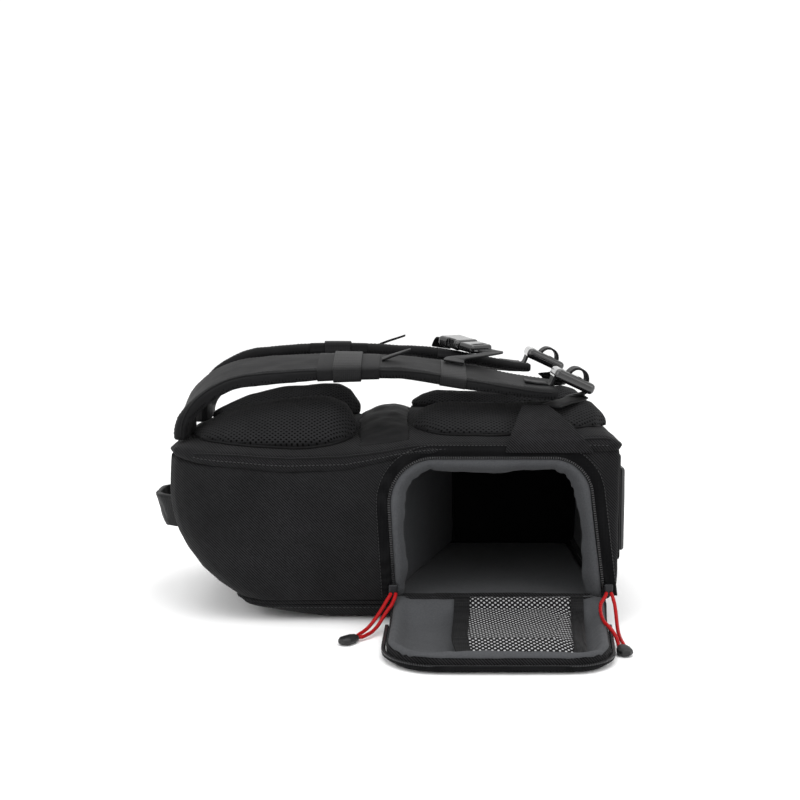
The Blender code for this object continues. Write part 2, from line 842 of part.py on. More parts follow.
def build_pad(name, side, rows, thickness, span, cloth, parts):
    """A back pad: a pillow seated on the back panel."""
    start, end = (HEAD_X + distance for distance in span)
    top = []
    bottom = []
    steps = 12
    across = (-1.0, -0.9, -0.68, -0.34, 0.0, 0.34, 0.68, 0.9, 1.0)
    for step in range(steps + 1):
        share = 0.5 - 0.5 * math.cos(math.pi * step / steps)
        x = start + (end - start) * share
        round_off = (1 - abs(2 * share - 1) ** 4.0) ** 0.5
        half = PAD_WIDTH / 2 * max(round_off, PAD_END_WIDTH)
        high = thickness * column(rows, share, 1)
        top_row = []
        bottom_row = []
        for place_share in across:
            y = side * PAD_SPREAD + half * place_share
            seat = back_top(x, y) + PAD_SEAT
            dome = 0.14 + 0.86 * (1 - abs(place_share) ** 3.0)
            top_row.append((x, y, seat + max(high * dome, PAD_RIM)))
            bottom_row.append((x, y, seat))
        top.append(top_row)
        bottom.append(bottom_row)
    return slab(name, top, bottom, cloth, parts)


def build_sleeve(cloth, parts):
    """The smooth band across the back between the upper and lower pads."""
    start, end = (HEAD_X + distance for distance in SLEEVE_SPAN)
    top = []
    bottom = []
    half = HALF_WIDTH - 0.06 * BODY_WIDTH
    for step in range(5):
        share = step / 4
        x = start + (end - start) * share
        top_row = []
        bottom_row = []
        for turn in range(13):
            across = -1 + turn / 6
            y = half * across
            seat = back_top(x, y) + PAD_SEAT
            rise = SLEEVE_RISE * (1 - abs(across) ** 2.0) * (0.6 + 0.4 * math.sin(math.pi * share))
            top_row.append((x, y, seat + SLEEVE_WALL + rise))
            bottom_row.append((x, y, seat))
        top.append(top_row)
        bottom.append(bottom_row)
    return slab("centre_sleeve", top, bottom, cloth, parts)


def build_strap(side, tag, web, cloth, parts):
    """A shoulder strap with its keeper bands and sternum band."""
    stations = strap_path(side)
    loft("strap_" + tag, [strap_ring(station, 0.0) for station in stations], cloth, parts)
    shift = FAR_KEEPER_SHIFT if side == FAR else 0.0
    bands = (
        # name, span, shift, material, wraps over the first band
        ("keeper_panel_", KEEPER_SPAN, shift, web, 0),
        ("keeper_loop_", LOOP_SPAN, shift, cloth, 1),
        ("sternum_band_", STERNUM_SPAN, 0.0, web, 0),
    )
    for name, (start, end), along, material, layer in bands:
        inner = 1.5 * GAP + layer * (KEEPER_WALL + 2 * GAP)
        spots = [strap_station(stations, along + start + (end - start) * step / 3)
                 for step in range(4)]
        band_round(name + tag, [strap_ring(spot, inner + KEEPER_WALL) for spot in spots],
                   [strap_ring(spot, inner) for spot in spots], material, parts)
    return stations


def build_tab(side, tag, stations, web, parts):
    """A short pull tab that stands up from the strap beside the keepers."""
    shift = 0.3 * FAR_KEEPER_SHIFT if side == FAR else 0.0
    low = strap_station(stations, TAB_START + shift)
    foot = low[0] + low[3] * (low[4] / 2 + GAP + 0.0010)
    tip = foot + Vector((TAB_LENGTH, 0.0, TAB_RISE))
    line = [foot, foot.lerp(tip, 0.35) + Vector((0, 0, 0.0004)), foot.lerp(tip, 0.7), tip]
    widths = (0.012, 0.010, 0.009, 0.006)
    rings = []
    for spot, width in zip(line, widths):
        wide = low[2] * width / 2
        deep = low[3] * 0.0009
        rings.append([spot - wide - deep, spot + wide - deep, spot + wide + deep, spot - wide + deep])
    return loft("pull_tab_" + tag, rings, web, parts, smooth=False)


def build_lock(side, tag, stations, plastic, web, parts, cutters):
    """The ladder lock at a strap's end, with the rolled webbing tail on it."""
    last = stations[-1]
    lean = math.radians(LOCK_PITCH)
    pitch = Vector((math.cos(lean), 0.0, -math.sin(lean)))
    up = Vector((math.sin(lean), 0.0, math.cos(lean)))
    seat = last[0] + Vector((LOCK_REACH, 0.0, last[4] / 2 + LOCK_THICKNESS / 2 + 5 * GAP))
    lock = box("ladder_lock_" + tag, (LOCK_LENGTH, LOCK_WIDTH, LOCK_THICKNESS), parts, plastic)
    soften(lock, 0.0012)
    place(lock, seat, pitch, up)
    for index, offset in enumerate((-0.17, 0.20)):
        slot = box("lock_slot_%s_%d" % (tag, index),
                   (LOCK_LENGTH * LOCK_SLOT, LOCK_WIDTH - 2 * LOCK_BAR, LOCK_THICKNESS * 3), cutters)
        place(slot, seat + pitch * LOCK_LENGTH * offset, pitch, up)
        cut(lock, slot)
    rings = []
    centre = seat + pitch * LOCK_LENGTH * 0.06 + up * (LOCK_THICKNESS / 2 + TAIL_RADIUS + GAP)
    for end in (-0.5, 0.5):
        ring = []
        for step in range(12):
            angle = 2 * math.pi * step / 12
            radius = TAIL_RADIUS * (1.0 if step % 3 else 0.93)
            ring.append(centre + Vector((radius * math.cos(angle), end * WEBBING_WIDTH,
                                         radius * math.sin(angle))))
        rings.append(ring)
    loft("webbing_tail_" + tag, rings, web, parts)
    return seat + pitch * (LOCK_LENGTH / 2)


def build_wing(side, tag, lock_end, cloth, web, parts):
    """The triangular wing at the side seam, and the webbing up to the ladder lock."""
    outer = HALF_WIDTH + BAND_PROUD + GAP + WING_WALL
    start = HEAD_X + WING_START * BODY_LENGTH
    end = HEAD_X + WING_END * BODY_LENGTH
    apex = HEAD_X + WING_APEX * BODY_LENGTH
    grid = []
    for share, lean, rise in WING_ROWS:
        low = start + (apex - WEBBING_WIDTH / 2 - start) * share
        high = end + (apex + WEBBING_WIDTH / 2 - end) * share
        y = side * (outer - WING_LEAN * lean)
        row = [(low + (high - low) * step / 4, y, BASE_SEAM + WING_RISE * rise) for step in range(5)]
        grid.append(row if side == NEAR else row[::-1])
    panel("strap_wing_" + tag, grid, WING_WALL, cloth, parts)

    top = Vector((apex, side * (outer - WING_LEAN), BASE_SEAM + WING_RISE))
    drop = Vector((0, 0, 1)) * (WEBBING_WALL / 2)
    line = smooth_line((
        top + Vector((0.0125, 0, -0.0008)) - drop,
        top + Vector((0.0220, -side * 0.0090, 0.0012)) - drop,
        top + Vector((0.0340, -side * 0.0190, 0.0030)) - drop,
        lock_end + Vector((-0.0090, 0, -0.0072)),
        lock_end + Vector((-0.0012, 0, -0.0030)),
    ), 3)
    normals = [Vector((0, 0, 1))] * len(line)
    ribbon("lower_webbing_" + tag, line, normals, WEBBING_WIDTH, WEBBING_WALL, web, parts)


def build_sternum(near, far, web, plastic, parts, cutters):
    """The slack sternum strap and its side-release buckle, fastened."""
    near_band = strap_station(near, 0.0495)
    far_band = strap_station(far, 0.0495)
    lift = KEEPER_WALL + 4 * GAP
    near_top = near_band[0] + near_band[2] * (STRAP_WIDTH * 0.5 - 0.009)
    near_top += near_band[3] * (near_band[4] / 2 + lift + WEBBING_WALL)
    far_top = far_band[0] - far_band[2] * (STRAP_WIDTH * 0.5 - 0.016)
    far_top += far_band[3] * (far_band[4] / 2 + lift + WEBBING_WALL)
    middle = Vector((far_top.x + 0.0135, far_top.y - 0.0190, far_top.z + 0.0035))
    ahead = Vector((0.62, -0.77, -0.14)).normalized()
    half = (SOCKET_LENGTH + PLUG_LENGTH + 2 * GAP) / 2
    low_end = middle + ahead * half
    high_end = middle - ahead * half

    across = Vector((0, 0, 1)).cross(ahead).normalized()
    size = (SOCKET_LENGTH, BUCKLE_WIDTH, BUCKLE_THICKNESS)
    body = box("buckle_socket", size, parts, plastic)
    soften(body, BUCKLE_THICKNESS * 0.28)
    place(body, high_end + ahead * SOCKET_LENGTH / 2, ahead)
    for index, side in enumerate((-1, 1)):
        size = (SOCKET_LENGTH * 0.40, BUCKLE_WIDTH * 0.23, BUCKLE_THICKNESS * 2)
        window = box("buckle_window_%d" % index, size, cutters)
        place(window, high_end + ahead * SOCKET_LENGTH * 0.6 + across * side * BUCKLE_WIDTH / 2, ahead)
        cut(body, window)
    size = (PLUG_LENGTH, BUCKLE_WIDTH * 0.92, BUCKLE_THICKNESS * 0.8)
    plug = box("buckle_plug", size, parts, plastic)
    soften(plug, BUCKLE_THICKNESS * 0.22)
    place(plug, low_end - ahead * PLUG_LENGTH / 2, ahead)
    size = (PLUG_LENGTH * 0.21, BUCKLE_WIDTH * 0.62, BUCKLE_THICKNESS * 2)
    slot = box("plug_slot", size, cutters)
    place(slot, low_end - ahead * PLUG_LENGTH * 0.27, ahead)
    cut(plug, slot)

    up = Vector((0, 0, 1))
    line = smooth_line((near_top - near_band[2] * 0.010, near_top + Vector((0.0025, 0.0050, 0.0006)),
                        near_top + Vector((0.0205, 0.0140, 0.0020)),
                        low_end + Vector((0.0090, -0.0190, -0.0016)),
                        low_end + ahead * 0.0085,
                        low_end + ahead * 0.0022), 3)
    normals = [near_band[3].lerp(up, min(index / 6, 1.0)) for index in range(len(line))]
    ribbon("sternum_webbing_near", line, normals, STERNUM_WIDTH, WEBBING_WALL, web, parts)
    line = smooth_line((high_end - ahead * 0.0010, high_end - ahead * 0.0060 + up * 0.0002,
                        far_top + far_band[2] * 0.011 - far_band[1] * 0.0075 + up * 0.0004,
                        far_top + far_band[2] * 0.021 - far_band[1] * 0.0070 + up * 0.0004), 3)
    normals = [up.lerp(far_band[3], min(index / 5, 1.0)) for index in range(len(line))]
    ribbon("sternum_webbing_far", line, normals, STERNUM_WIDTH, WEBBING_WALL, web, parts)


def build_handle(web, parts):
    """The grab handle across the head end, bowed away from the bag."""
    height = POCKET_DEPTH + HANDLE_HEIGHT * HULL_DEPTH
    low_head, _, _ = hull_at(height - HANDLE_WIDTH * 0.45)
    high_head, _, _ = hull_at(height + HANDLE_WIDTH * 0.45)
    lean = Vector((low_head - high_head, 0, -HANDLE_WIDTH * 0.9)).normalized()
    head = hull_at(height)[0]
    flat = Vector((-lean.z, 0, lean.x))
    outward = -flat if flat.x > 0 else flat
    base = Vector((head, 0, height)) + outward * (HANDLE_WALL / 2 + 1.5 * GAP)
    rows = [(span, reach) for span, reach in HANDLE_ROWS]
    rows += [(-span, reach) for span, reach in reversed(HANDLE_ROWS)]
    points = []
    for span, reach in rows:
        out = max(reach - HANDLE_ROWS[0][1], 0.0) * HANDLE_REACH
        points.append(base + Vector((-out, span * HANDLE_SPAN / 2, 0.0)))
    line = smooth_line(points, 2)
    rings = []
    for index, spot in enumerate(line):
        before = line[max(index - 1, 0)]
        after = line[min(index + 1, len(line) - 1)]
        along = (after - before).normalized()
        deep = along.cross(lean).normalized() * HANDLE_WALL / 2
        wide = lean * HANDLE_WIDTH / 2
        rings.append([spot - wide - deep, spot + wide - deep, spot + wide + deep, spot - wide + deep])
    return loft("grab_handle", rings, web, parts)


def build_base(cloth, rubber, parts):
    """The flat plate and the raised pad on the bag's base."""
    low, high = (POCKET_DEPTH + HULL_DEPTH * share for share in PLATE_SPAN)
    plate = box("base_plate", (BASE_PLATE, BODY_WIDTH - 2 * PLATE_MARGIN, high - low), parts, cloth)
    plate.location = (BASE_X + GAP + BASE_PLATE / 2, 0.0, (low + high) / 2)
    soften(plate, 0.35 * BASE_PLATE)
    low, high = (POCKET_DEPTH + HULL_DEPTH * share for share in PAD_SPAN)
    raised = box("base_pad", (BASE_PAD, BODY_WIDTH - 2 * PAD_MARGIN, high - low), parts, rubber)
    raised.location = (BASE_X + 2 * GAP + BASE_PLATE + BASE_PAD / 2, 0.0, (low + high) / 2)
    soften(raised, 0.3 * BASE_PAD)


def build_opening(side_panel, web, lining, parts, cutters):
    """Cut the side opening and add its zipper tape and the soft lip behind it."""
    outline = opening_outline()
    mesh = bpy.data.meshes.new("opening_cut")
    work = bmesh.new()
    near = [work.verts.new((x, -HALF_WIDTH - 0.03, z)) for x, z in outline]
    far = [work.verts.new((x, -HALF_WIDTH + 0.03, z)) for x, z in outline]
    work.faces.new(near)
    work.faces.new(far[::-1])
    for index in range(len(outline)):
        after = (index + 1) % len(outline)
        work.faces.new((near[after], near[index], far[index], far[after]))
    bmesh.ops.recalc_face_normals(work, faces=work.faces)
    work.to_mesh(mesh)
    work.free()
    cutter = bpy.data.objects.new("opening_cut", mesh)
    cutters.objects.link(cutter)
    cut(side_panel, cutter)

    def strip(name, inset, depth, width, thickness, sill, material):
        line = [Vector((x, -side_y(x, z) + depth, z)) for x, z in opening_outline(inset, sill)]
        normals = [Vector((0, -1, 0))] * len(line)
        ribbon(name, line, normals, width, thickness, material, parts)

    strip("opening_zipper", GAP + ZIP_WIDTH / 2, ZIP_THICKNESS / 2 - 0.001,
          ZIP_WIDTH, ZIP_THICKNESS, 0.001, web)
    strip("opening_lip", LIP_WIDTH / 2 - 0.0015, PANEL_WALL + 2 * GAP + LIP_THICKNESS / 2,
          LIP_WIDTH, LIP_THICKNESS, 0.004, lining)


def hinge_y(x):
    """Where the door starts, just outside the side panel at the sill."""
    return side_y(x, SILL_Z) + 2 * GAP


def door_spot(reach, across):
    """Plan position on the door, and the height of its underside."""
    head, base = opening_span(reach)
    x = head + (base - head) * across
    y = -hinge_y(x) - DOOR_LENGTH * reach
    height = max(SILL_Z * column(DOOR_ROWS, reach, 1), 0.0004)
    return x, y, height


def door_rim(reach, across):
    """Height of the door's soft lip above its floor."""
    side = min(across, 1 - across)
    edge = max(float(np.interp(side, (0.0, 0.02, 0.045, 0.075), (0.75, 1.0, 0.75, 0.0))),
               float(np.interp(reach, (0.88, 0.94, 0.975, 1.0), (0.0, 0.75, 1.0, 0.75))))
    start = float(np.interp(reach, (0.0, 0.08, 0.26), (0.0, 0.2, 1.0)))
    return DOOR_RIM * edge * start


def door_floor(x, y):
    """Height of the door's inner face at a plan position."""
    reach = min(max((-y - hinge_y(x)) / DOOR_LENGTH, 0.0), 1.0)
    return max(SILL_Z * column(DOOR_ROWS, reach, 1), 0.0004) + DOOR_WALL


def build_door(cloth, web, net, parts):
    """The open side door: tray, zipper, and the net pocket inside it."""
    reaches = [row[0] for row in DOOR_ROWS]
    places = (0.0, 0.02, 0.045, 0.075, 0.25, 0.5, 0.75, 0.925, 0.955, 0.98, 1.0)
    top = []
    bottom = []
    for reach in reaches:
        top_row = []
        bottom_row = []
        for across in places:
            x, y, height = door_spot(reach, across)
            bottom_row.append((x, y, height))
            top_row.append((x, y, height + DOOR_WALL + door_rim(reach, across)))
        top.append(top_row)
        bottom.append(bottom_row)
    slab("door_panel", top, bottom, cloth, parts)

    line = []
    shares = [share for share in opening_shares() if share > 0.2]
    for share in shares:
        x, y, height = door_spot(share, 0.0)
        line.append(Vector((x, y, height)))
    far_x, far_y, far_z = door_spot(1.0, 0.5)
    line.append(Vector((far_x, far_y, far_z)))
    for share in reversed(shares):
        x, y, height = door_spot(share, 1.0)
        line.append(Vector((x, y, height)))
    moved = []
    for index, spot in enumerate(line):
        before = line[max(index - 1, 0)]
        after = line[min(index + 1, len(line) - 1)]
        run = (after - before).normalized()
        out = Vector((run.y, -run.x, 0)).normalized() * (ZIP_WIDTH / 2 + 2 * GAP)
        moved.append(spot + out + Vector((0, 0, ZIP_THICKNESS / 2 + 0.003)))
    normals = [Vector((0, 0, 1))] * len(moved)
    ribbon("door_zipper", moved, normals, ZIP_WIDTH, ZIP_THICKNESS, web, parts)

    bands = (
        # name, head share, base share, wall, material
        ("pocket_elastic", 0.295, 0.362, MESH_WALL * 1.5, web),
        ("mesh_pocket", 0.364, 0.835, MESH_WALL, net),
        ("pocket_binding", 0.837, 0.890, MESH_WALL * 1.5, web),
    )
    for name, start, end, wall, material in bands:
        top = []
        bottom = []
        for step in range(9):
            reach = 0.10 + 0.78 * step / 8
            rise = POCKET_RISE * min(step / 1.6, (8 - step) / 1.6, 1.0)
            top_row = []
            bottom_row = []
            count = 6 if name == "mesh_pocket" else 2
            for place_step in range(count + 1):
                across = start + (end - start) * place_step / count
                x, y, _ = door_spot(reach, across)
                inward = min(max((0.885 - across) / 0.12, 0.0), 1.0)
                low = door_floor(x, y) + 2 * GAP + rise * inward ** 0.6
                bottom_row.append((x, y, low))
                top_row.append((x, y, low + wall))
            top.append(top_row)
            bottom.append(bottom_row)
        slab(name, top, bottom, material, parts)


def build_lining(lining, parts):
    """The lined compartment: divider, floor, base wall, far wall and ceiling."""
    inner_half = HALF_WIDTH - PANEL_WALL - LIP_THICKNESS - 0.028 * BODY_WIDTH
    near_y = -inner_half
    far_y = inner_half
    near_x = OPENING_HEAD_X - 0.001
    far_x = near_x + 0.060
    floor_z = POCKET_DEPTH + GAP

    def divider_x(y):
        return near_x + (far_x - near_x) * (y - near_y) / (far_y - near_y)

    wall_low = floor_z + LINER_WALL + GAP
    top = []
    bottom = []
    for step in range(5):
        y = near_y + (inner_half - 0.002 - near_y) * step / 4
        x = divider_x(y)
        high = seam_z(x - DIVIDER_WALL) - LINER_WALL - 5 * GAP
        top.append([(x, y, wall_low), (x, y, high)])
        bottom.append([(x - DIVIDER_WALL, y, wall_low), (x - DIVIDER_WALL, y, high)])
    slab("divider", top, bottom, lining, parts, smooth=False)

    def sheet(name, rows):
        """Four-cornered sheet given as rows of points, thickened along its normals."""
        panel(name, rows, LINER_WALL, lining, parts)

    def wall_x(height):
        return hull_at(height)[1] - 1.1 * PANEL_WALL - LINER_WALL

    low_y = -inner_half
    floor_end = wall_x(POCKET_DEPTH) - GAP
    sheet("liner_floor", [
        [(divider_x(low_y) - DIVIDER_WALL, low_y, floor_z + LINER_WALL),
         (floor_end, low_y, floor_z + LINER_WALL)],
        [(divider_x(inner_half) - DIVIDER_WALL, inner_half, floor_z + LINER_WALL),
         (floor_end, inner_half, floor_z + LINER_WALL)],
    ])
    wall_high = BASE_SEAM - 0.0065
    heights = (POCKET_DEPTH + 0.06 * HULL_DEPTH, POCKET_DEPTH + 0.16 * HULL_DEPTH, wall_high)
    sheet("liner_base_wall", [
        [(wall_x(height), inner_half - 0.003, height), (wall_x(height), low_y + 0.002, height)]
        for height in heights
    ])
    sheet("liner_far_wall", [
        [(divider_x(inner_half) + GAP, inner_half, height),
         (wall_x(height) - 2 * GAP, inner_half, height)]
        for height in (wall_low, *heights)
    ])
    rows = []
    for step in range(2):
        y = low_y + 2 * inner_half * step
        line = []
        for turn in range(9):
            x = near_x + (wall_x(wall_high) - near_x) * turn / 8
            line.append((x, y, seam_z(x) - LINER_WALL - 2 * GAP))
        rows.append(line[::-1])
    sheet("liner_ceiling", rows)


def build_pull(tag, route, slider_x, grip_at, grip_along, metal, red, rubber, parts, cutters):
    """A zipper slider, its cord loop and the moulded grip."""
    slider = box("slider_" + tag, (SLIDER_WIDTH, SLIDER_DEPTH, SLIDER_HEIGHT), parts, metal)
    soften(slider, 0.2 * SLIDER_DEPTH)
    low = SILL_Z + 0.0010
    front = side_y(slider_x, low + SLIDER_HEIGHT) + 0.0010 + GAP
    slider.location = (slider_x, -front - SLIDER_DEPTH / 2, low + SLIDER_HEIGHT / 2)
    eye = box("slider_eye_" + tag, (2 * SLIDER_WIDTH, EYE_DEPTH, EYE_HEIGHT), cutters)
    eye.location = (slider_x, slider.location.y - SLIDER_DEPTH / 6, low + EYE_HEIGHT)
    cut(slider, eye)

    curve = bpy.data.curves.new("pull_cord_" + tag, "CURVE")
    curve.dimensions = "3D"
    curve.bevel_depth = CORD_DIAMETER / 2
    curve.bevel_resolution = 1
    curve.use_fill_caps = True
    line = smooth_line(route, 1)
    spline = curve.splines.new("POLY")
    spline.points.add(len(line) - 1)
    for point, spot in zip(spline.points, line):
        point.co = (*spot, 1.0)
    add_object("pull_cord_" + tag, curve, red, parts)

    rings = []
    shape = ((-0.50, 0.55, 0.80), (-0.20, 0.86, 1.00), (0.22, 1.00, 1.00), (0.50, 0.50, 0.70))
    ahead = Vector(grip_along).normalized()
    across = Vector((0, 0, 1)).cross(ahead).normalized()
    centre = Vector(grip_at)
    for along, wide, deep in shape:
        spot = centre + ahead * GRIP_LENGTH * along
        half = across * GRIP_WIDTH / 2 * wide
        up = Vector((0, 0, GRIP_THICKNESS / 2 * deep))
        rings.append([spot - half * 0.7 - up, spot + half * 0.7 - up, spot + half - up * 0.3,
                      spot + half * 0.9 + up * 0.6, spot + half * 0.5 + up, spot - half * 0.5 + up,
                      spot - half * 0.9 + up * 0.6, spot - half - up * 0.3])
    loft("pull_grip_" + tag, rings, rubber, parts)


def main():
    clear_scene()
    parts = new_collection("camera_backpack")
    cutters = new_collection("cutters")
    twill = finish("black_twill", (0.012, 0.012, 0.013), 0.85)
    web = finish("black_webbing", (0.010, 0.010, 0.011), 0.6)
    air = finish("air_mesh", (0.014, 0.014, 0.015), 0.9)
    net = finish("pocket_net", (0.05, 0.05, 0.05), 0.8)
    lining = finish("grey_lining", (0.16, 0.16, 0.16), 0.8)
    plastic = finish("black_acetal", (0.02, 0.02, 0.022), 0.25)
    metal = finish("black_metal", (0.03, 0.03, 0.03), 0.35, 0.9)
    rubber = finish("black_rubber", (0.015, 0.015, 0.015), 0.55)
    red = finish("red_cord", (0.60, 0.01, 0.01), 0.6)

    near_panel = build_side(NEAR, "side_panel_near", twill, parts)
    build_side(FAR, "side_panel_far", twill, parts)
    build_end("head_panel", True, twill, parts)
    build_end("base_panel", False, twill, parts)
    build_front(twill, parts)
    build_back(twill, parts)
    for side, tag in ((NEAR, "near"), (FAR, "far")):
        build_pad("back_pad_upper_" + tag, side, UPPER_PAD_ROWS, UPPER_PAD,
                  UPPER_PAD_SPAN, air, parts)
        build_pad("back_pad_lower_" + tag, side, LOWER_PAD_ROWS, LOWER_PAD,
                  LOWER_PAD_SPAN, air, parts)
    build_sleeve(twill, parts)

    paths = {}
    for side, tag in ((NEAR, "near"), (FAR, "far")):
        stations = build_strap(side, tag, web, twill, parts)
        build_tab(side, tag, stations, web, parts)
        lock_end = build_lock(side, tag, stations, plastic, web, parts, cutters)
        build_wing(side, tag, lock_end, twill, web, parts)
        paths[side] = stations
    build_sternum(paths[NEAR], paths[FAR], web, plastic, parts, cutters)
    build_handle(web, parts)
    build_base(twill, rubber, parts)
    build_opening(near_panel, web, lining, parts, cutters)
    build_door(twill, web, net, parts)
    build_lining(lining, parts)
    build_pull("head", PULL_ROUTE_HEAD, OPENING_HEAD_X + 0.0010, GRIP_HEAD, GRIP_HEAD_AIM,
               metal, red, rubber, parts, cutters)
    build_pull("base", PULL_ROUTE_BASE, OPENING_BASE_X + 0.0010, GRIP_BASE, GRIP_BASE_AIM,
               metal, red, rubber, parts, cutters)


main()
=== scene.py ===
"""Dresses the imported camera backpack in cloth, webbing, net, zippers, cords and light.

Metres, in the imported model's frame: +X points to the bag's base, -Y to the side with
the door, and +Z up from the floor that the bag lies on.
"""
from __future__ import annotations

import json
import logging
import math
from dataclasses import dataclass, field
from enum import Enum

import bmesh
import bpy
import numpy as np
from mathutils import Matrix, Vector, noise
from mathutils.bvhtree import BVHTree

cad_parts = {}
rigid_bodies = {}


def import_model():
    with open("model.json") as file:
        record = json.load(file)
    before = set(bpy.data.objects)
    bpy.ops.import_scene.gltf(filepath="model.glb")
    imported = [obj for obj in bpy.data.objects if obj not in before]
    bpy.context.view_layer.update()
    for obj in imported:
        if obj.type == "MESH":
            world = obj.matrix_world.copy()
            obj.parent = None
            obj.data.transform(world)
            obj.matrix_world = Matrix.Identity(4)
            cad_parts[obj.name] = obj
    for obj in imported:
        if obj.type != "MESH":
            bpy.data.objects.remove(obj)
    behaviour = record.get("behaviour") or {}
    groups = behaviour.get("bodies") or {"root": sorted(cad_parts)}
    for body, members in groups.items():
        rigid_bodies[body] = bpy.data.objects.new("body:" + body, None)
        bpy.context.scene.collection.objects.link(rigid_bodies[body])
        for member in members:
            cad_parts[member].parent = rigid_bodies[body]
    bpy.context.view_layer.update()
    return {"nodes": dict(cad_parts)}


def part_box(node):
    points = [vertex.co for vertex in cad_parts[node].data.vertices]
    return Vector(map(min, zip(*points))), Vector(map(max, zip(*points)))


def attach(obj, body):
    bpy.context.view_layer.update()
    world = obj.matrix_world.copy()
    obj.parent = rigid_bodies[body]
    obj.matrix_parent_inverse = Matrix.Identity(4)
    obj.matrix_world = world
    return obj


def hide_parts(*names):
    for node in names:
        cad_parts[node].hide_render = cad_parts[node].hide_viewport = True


log = logging.getLogger("backpack")
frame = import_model()

MM = 0.001
BODY = "root"
LAY = "cloth_lay"
# Points closer than WELD are one, and triangles within both angles join to one face
WELD = 0.01 * MM
JOIN_BEND = math.radians(30)
JOIN_SKEW = math.radians(60)
SEED_STEP = 0.37
STRAP_Y = 60 * MM
HINGE_Y = -0.1192
TOOTH_PITCH = 1.9 * MM
TOOTH_LENGTH = 2.4 * MM
# Where rays start: clear of the bag on any side, above its back, and above its door
OUTSIDE = 0.4
ABOVE = 0.3
HIGH = 0.2
DOWN = Vector((0, 0, -1))
NEAR = -1
FAR = 1
SIDES = ((NEAR, "near"), (FAR, "far"))

# Free cord routes of the zipper pulls, from the slider to the grip and back
PULL_ROUTE_HEAD = (
    (-0.0031, -0.1271, 0.0272),
    (-0.0041, -0.1300, 0.0258),
    (-0.0062, -0.1328, 0.0232),
    (-0.0092, -0.1378, 0.0190),
    (-0.0130, -0.1428, 0.0142),
    (-0.0172, -0.1477, 0.0094),
    (-0.0215, -0.1527, 0.0056),
    (-0.0253, -0.1576, 0.0038),
    (-0.0280, -0.1620, 0.0032),
    (-0.0294, -0.1656, 0.0030),
    (-0.0300, -0.1675, 0.0030),
    (-0.0291, -0.1693, 0.0030),
    (-0.0272, -0.1699, 0.0030),
    (-0.0254, -0.1690, 0.0030),
    (-0.0220, -0.1646, 0.0033),
    (-0.0176, -0.1582, 0.0043),
    (-0.0133, -0.1515, 0.0073),
    (-0.0095, -0.1455, 0.0120),
    (-0.0060, -0.1410, 0.0165),
    (-0.0025, -0.1370, 0.0203),
    (-0.0004, -0.1320, 0.0238),
    (0.0006, -0.1296, 0.0260),
    (0.0009, -0.1271, 0.0272),
)
PULL_ROUTE_BASE = (
    (0.1743, -0.1259, 0.0274),
    (0.1738, -0.1277, 0.0267),
    (0.1722, -0.1303, 0.0247),
    (0.1690, -0.1340, 0.0214),
    (0.1674, -0.1405, 0.0190),
    (0.1666, -0.1480, 0.0174),
    (0.1662, -0.1560, 0.0164),
    (0.1662, -0.1640, 0.0154),
    (0.1667, -0.1715, 0.0150),
    (0.1679, -0.1780, 0.0146),
    (0.1700, -0.1827, 0.0127),
    (0.1722, -0.1864, 0.0096),
    (0.1735, -0.1893, 0.0064),
    (0.1740, -0.1915, 0.0040),
    (0.1740, -0.1940, 0.0031),
    (0.1746, -0.1956, 0.0030),
    (0.1762, -0.1962, 0.0030),
    (0.1778, -0.1956, 0.0030),
    (0.1784, -0.1940, 0.0030),
    (0.1785, -0.1885, 0.0031),
    (0.1783, -0.1815, 0.0033),
    (0.1782, -0.1735, 0.0039),
    (0.1783, -0.1650, 0.0054),
    (0.1788, -0.1565, 0.0080),
    (0.1794, -0.1485, 0.0114),
    (0.1799, -0.1410, 0.0154),
    (0.1800, -0.1345, 0.0198),
    (0.1792, -0.1300, 0.0244),
    (0.1786, -0.1278, 0.0264),
    (0.1784, -0.1259, 0.0274),
)


def linear(code: str) -> tuple[float, float, float, float]:
    """Turn an sRGB hex colour into linear light.

    Args:
        code: Colour as "#rrggbb".

    Returns:
        Linear red, green and blue, and an alpha of 1.
    """
    shares = [int(code[start:start + 2], 16) / 255 for start in (1, 3, 5)]
    light = [c / 12.92 if c <= 0.04045 else ((c + 0.055) / 1.055) ** 2.4 for c in shares]
    return (light[0], light[1], light[2], 1.0)


def add_node(
    tree: bpy.types.NodeTree,
    kind: str,
    settings: dict[str | int, object] | None = None,
    links: dict[str | int, bpy.types.NodeSocket] | None = None,
) -> bpy.types.Node:
    """Add one shader node with its settings and its incoming links.

    Args:
        tree: Node tree of the material.
        kind: Blender's name of the node type.
        settings: Values by socket name or number, or by the node's own property.
        links: Sources by socket name or number.

    Returns:
        The new node.
    """
    node = tree.nodes.new(kind)
    for key, value in (settings or {}).items():
        if isinstance(key, str) and key not in node.inputs:
            setattr(node, key, value)
        else:
            node.inputs[key].default_value = value
    for key, source in (links or {}).items():
        tree.links.new(source, node.inputs[key])
    return node


class Weave(Enum):
    """How a cloth's threads are laid."""

    TWILL = "twill"
    PLAIN = "plain"
    KNIT_HOLES = "knit_holes"
    BRUSHED = "brushed"


